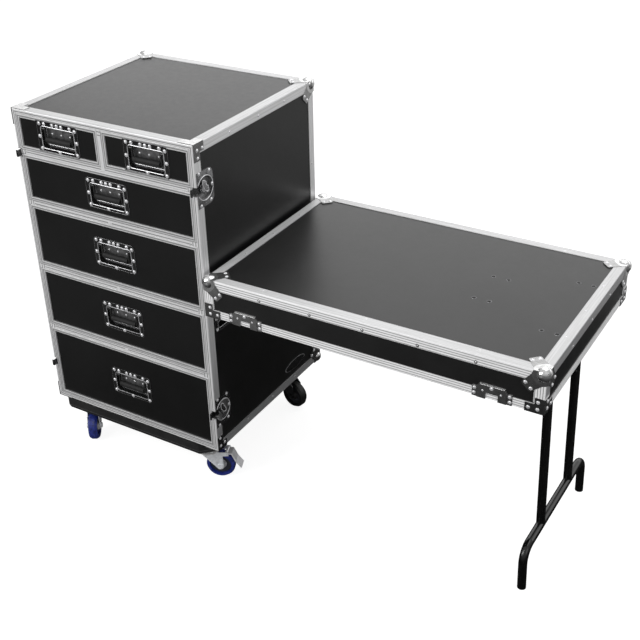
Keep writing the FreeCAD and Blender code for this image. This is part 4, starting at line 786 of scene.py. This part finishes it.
# Pressed rims of the latches' wings, which lie turned in their cups, and rings on their rotors
WING_RIM = [(-4, 7), (0.5, 18.5), (6, 22.5), (10.5, 20), (14.6, 9), (11.5, 0)]
WING_RIM += [(a, -b) for a, b in WING_RIM[-2::-1]]
WING_TWIST = math.radians(30)
WING_FACE_X, ROTOR_FACE_X, ROTOR_RING_R = 347.1, 343.0, 15.5
c, s = math.cos(WING_TWIST), math.sin(WING_TWIST)
WING_RIM = [(a * c - b * s, a * s + b * c) for a, b in WING_RIM]
for corner, (side, z) in LATCHES.items():
    piece = Piece()
    rim = [Vector((side * WING_FACE_X, LATCH_Y + y, z + up)) for y, up in WING_RIM]
    piece.tube(rim, X * side, 1.4)
    piece.make("wing_rim_" + corner, [bright], "latch_%s_wing" % corner)
    piece = Piece()
    ring = arc(side * ROTOR_FACE_X, z, ROTOR_RING_R, range(0, 360, 15))
    piece.tube(ring, X * side, 0.7)
    piece.make("rotor_ring_" + corner, [bright], "latch_%s_rotor" % corner)

# Bare oval plate low on the case's right side: lift and share of its size, from its rim inward
BADGE_PROFILE = ((0, 1.0), (0.9, 1.0), (1.2, 0.97), (0.8, 0.93))
BADGE_AT, BADGE_HALF, BADGE_SIDES = (348, 490, 72), (64, 18), 48
badge = Piece()
verts = [(BADGE_AT[0] + lift, BADGE_AT[1] + BADGE_HALF[0] * share * c,
          BADGE_AT[2] + BADGE_HALF[1] * share * s)
         for lift, share in BADGE_PROFILE for c, s in around(BADGE_SIDES)]
rings = grid(len(BADGE_PROFILE), BADGE_SIDES)
plate = list(range(len(verts) - BADGE_SIDES, len(verts)))
badge.add(verts, rings + [plate])
badge.slots = [0 if i < 2 * BADGE_SIDES else 1 for i in range(len(badge.faces))]
badge_rim = plated("badge rim", 0.4, 0.3, metallic=0.2)
badge.make("badge_plate", [badge_rim, black_steel], "case")

# Stage: a floor that bends up into a backdrop
REACH, NEAR_END, DEPTH, RISE, BEND = 9.0, -9.0, 7.0, 6.0, 1.6
profile = [(NEAR_END, 0.0), (DEPTH - BEND, 0.0)]
for t in range(1, 13):
    turn = t * math.pi / 24
    profile.append((DEPTH - BEND + BEND * math.sin(turn), BEND - BEND * math.cos(turn)))
profile.append((DEPTH, RISE))
floor_mesh = bpy.data.meshes.new("floor")
floor_mesh.from_pydata([(x, y, z) for y, z in profile for x in (-REACH, REACH)], [],
                       [[2 * i, 2 * i + 1, 2 * i + 3, 2 * i + 2] for i in range(len(profile) - 1)])
floor = put_in_scene("floor", floor_mesh)
floor_mesh.shade_smooth()

# The camera sees a white floor with a faint shadow. Polished metal mirrors one that is darkest
# near the object, dark far to its left and, short of the backdrop, to its right
FLOOR_WHITE, FLOOR_SHOWN = 1.45, 0.62
MIRRORED_FLOOR, MIRRORED_BACKDROP = (0.02, 0.34), 1.6
ground = Shader("pale floor", grey(0.86), 0.0, 0.9, 0.0)
rays = ground.add("LightPath").outputs
seen = ground.most(rays["Is Camera Ray"], rays["Is Transmission Ray"])
lit = ground.layer(ground.times(seen, FLOOR_SHOWN), ground.bsdf.outputs[0],
                   ground.glow(FLOOR_WHITE))
square_x, square_y = ground.times(ground.x, ground.x), ground.times(ground.y, ground.y)
away = ground.root(ground.plus(square_x, square_y))
mirrored = ground.blend(ground.step(away, 0.3, 3.6), *MIRRORED_FLOOR)
left = ground.blend(ground.step(ground.x, -3.4, -0.4), 0.2, 1.4)
behind = ground.blend(ground.step(ground.y, 1.2, 1.9), 0.32, 1.0)
right = ground.blend(ground.step(ground.x, -0.4, 0.6), 1.0, behind)
mirrored = ground.times(ground.times(mirrored, left), right)
mirrored = ground.blend(ground.step(ground.z, 0.3, 2.6), mirrored, MIRRORED_BACKDROP)
surface = ground.layer(rays["Is Glossy Ray"], lit, ground.glow(mirrored))
ground.put(ground.nodes["Material Output"].inputs["Surface"], surface)
floor_mesh.materials.append(ground.material)

# The world: white to the camera, plain soft light on the object, and for reflections a sky that
# is dark at the horizon
WORLD_LIGHT, WORLD_SHOWN = 0.5, 1.0
HORIZON, OVERHEAD = 0.12, 0.9
world = bpy.data.worlds.new("world")
bpy.context.scene.world = world
air = Nodes(world)
rays = air.add("LightPath").outputs
background = air.nodes["Background"]
air.put(background.inputs["Color"], grey(1))
air.put(background.inputs["Strength"],
        air.scaled(rays["Is Camera Ray"], WORLD_LIGHT, WORLD_SHOWN))
up = air.add("SeparateXYZ", {0: air.add("TexCoord").outputs["Generated"]}).outputs["Z"]
sky = air.add("Background", {"Strength": air.scaled(up, HORIZON, OVERHEAD, -0.05, 0.6)})
surface = air.layer(rays["Is Glossy Ray"], background.outputs[0], sky.outputs[0])
air.put(air.nodes["World Output"].inputs["Surface"], surface)


def lamp(name, place, target, size, power):
    light = bpy.data.lights.new(name, "AREA")
    light.shape = "RECTANGLE"
    light.size, light.size_y = size
    light.energy = power
    source = put_in_scene(name, light)
    source.location = place
    source.rotation_euler = (Vector(target) - Vector(place)).to_track_quat("-Z", "Y").to_euler()


lamp("overhead", (0.3, 1.2, 4.2), (0, 0, 0.7), (4.5, 3.0), 60)
lamp("front left", (-3.2, -3.6, 2.6), (0, 0, 0.6), (2.0, 2.4), 60)
lamp("strip", (-1.2, -3.6, 3.4), (0, 0, 0.6), (0.35, 2.2), 35)
lamp("right", (4.2, -1.6, 2.6), (0.3, 0, 0.6), (1.8, 2.2), 13)

camera_data = bpy.data.cameras.new("camera")
camera = put_in_scene("camera", camera_data)
bpy.context.scene.camera = camera
camera_data.sensor_width = 36
camera_data.lens = 60.3981
camera_data.shift_x = 0.01701
camera_data.shift_y = -0.003926
camera_data.clip_end = 50
camera.location = (1.5803, -2.59024, 2.3414)
camera.rotation_euler = (1.040947, 0.025716, 0.541402)
bpy.context.scene.view_settings.view_transform = "Standard"
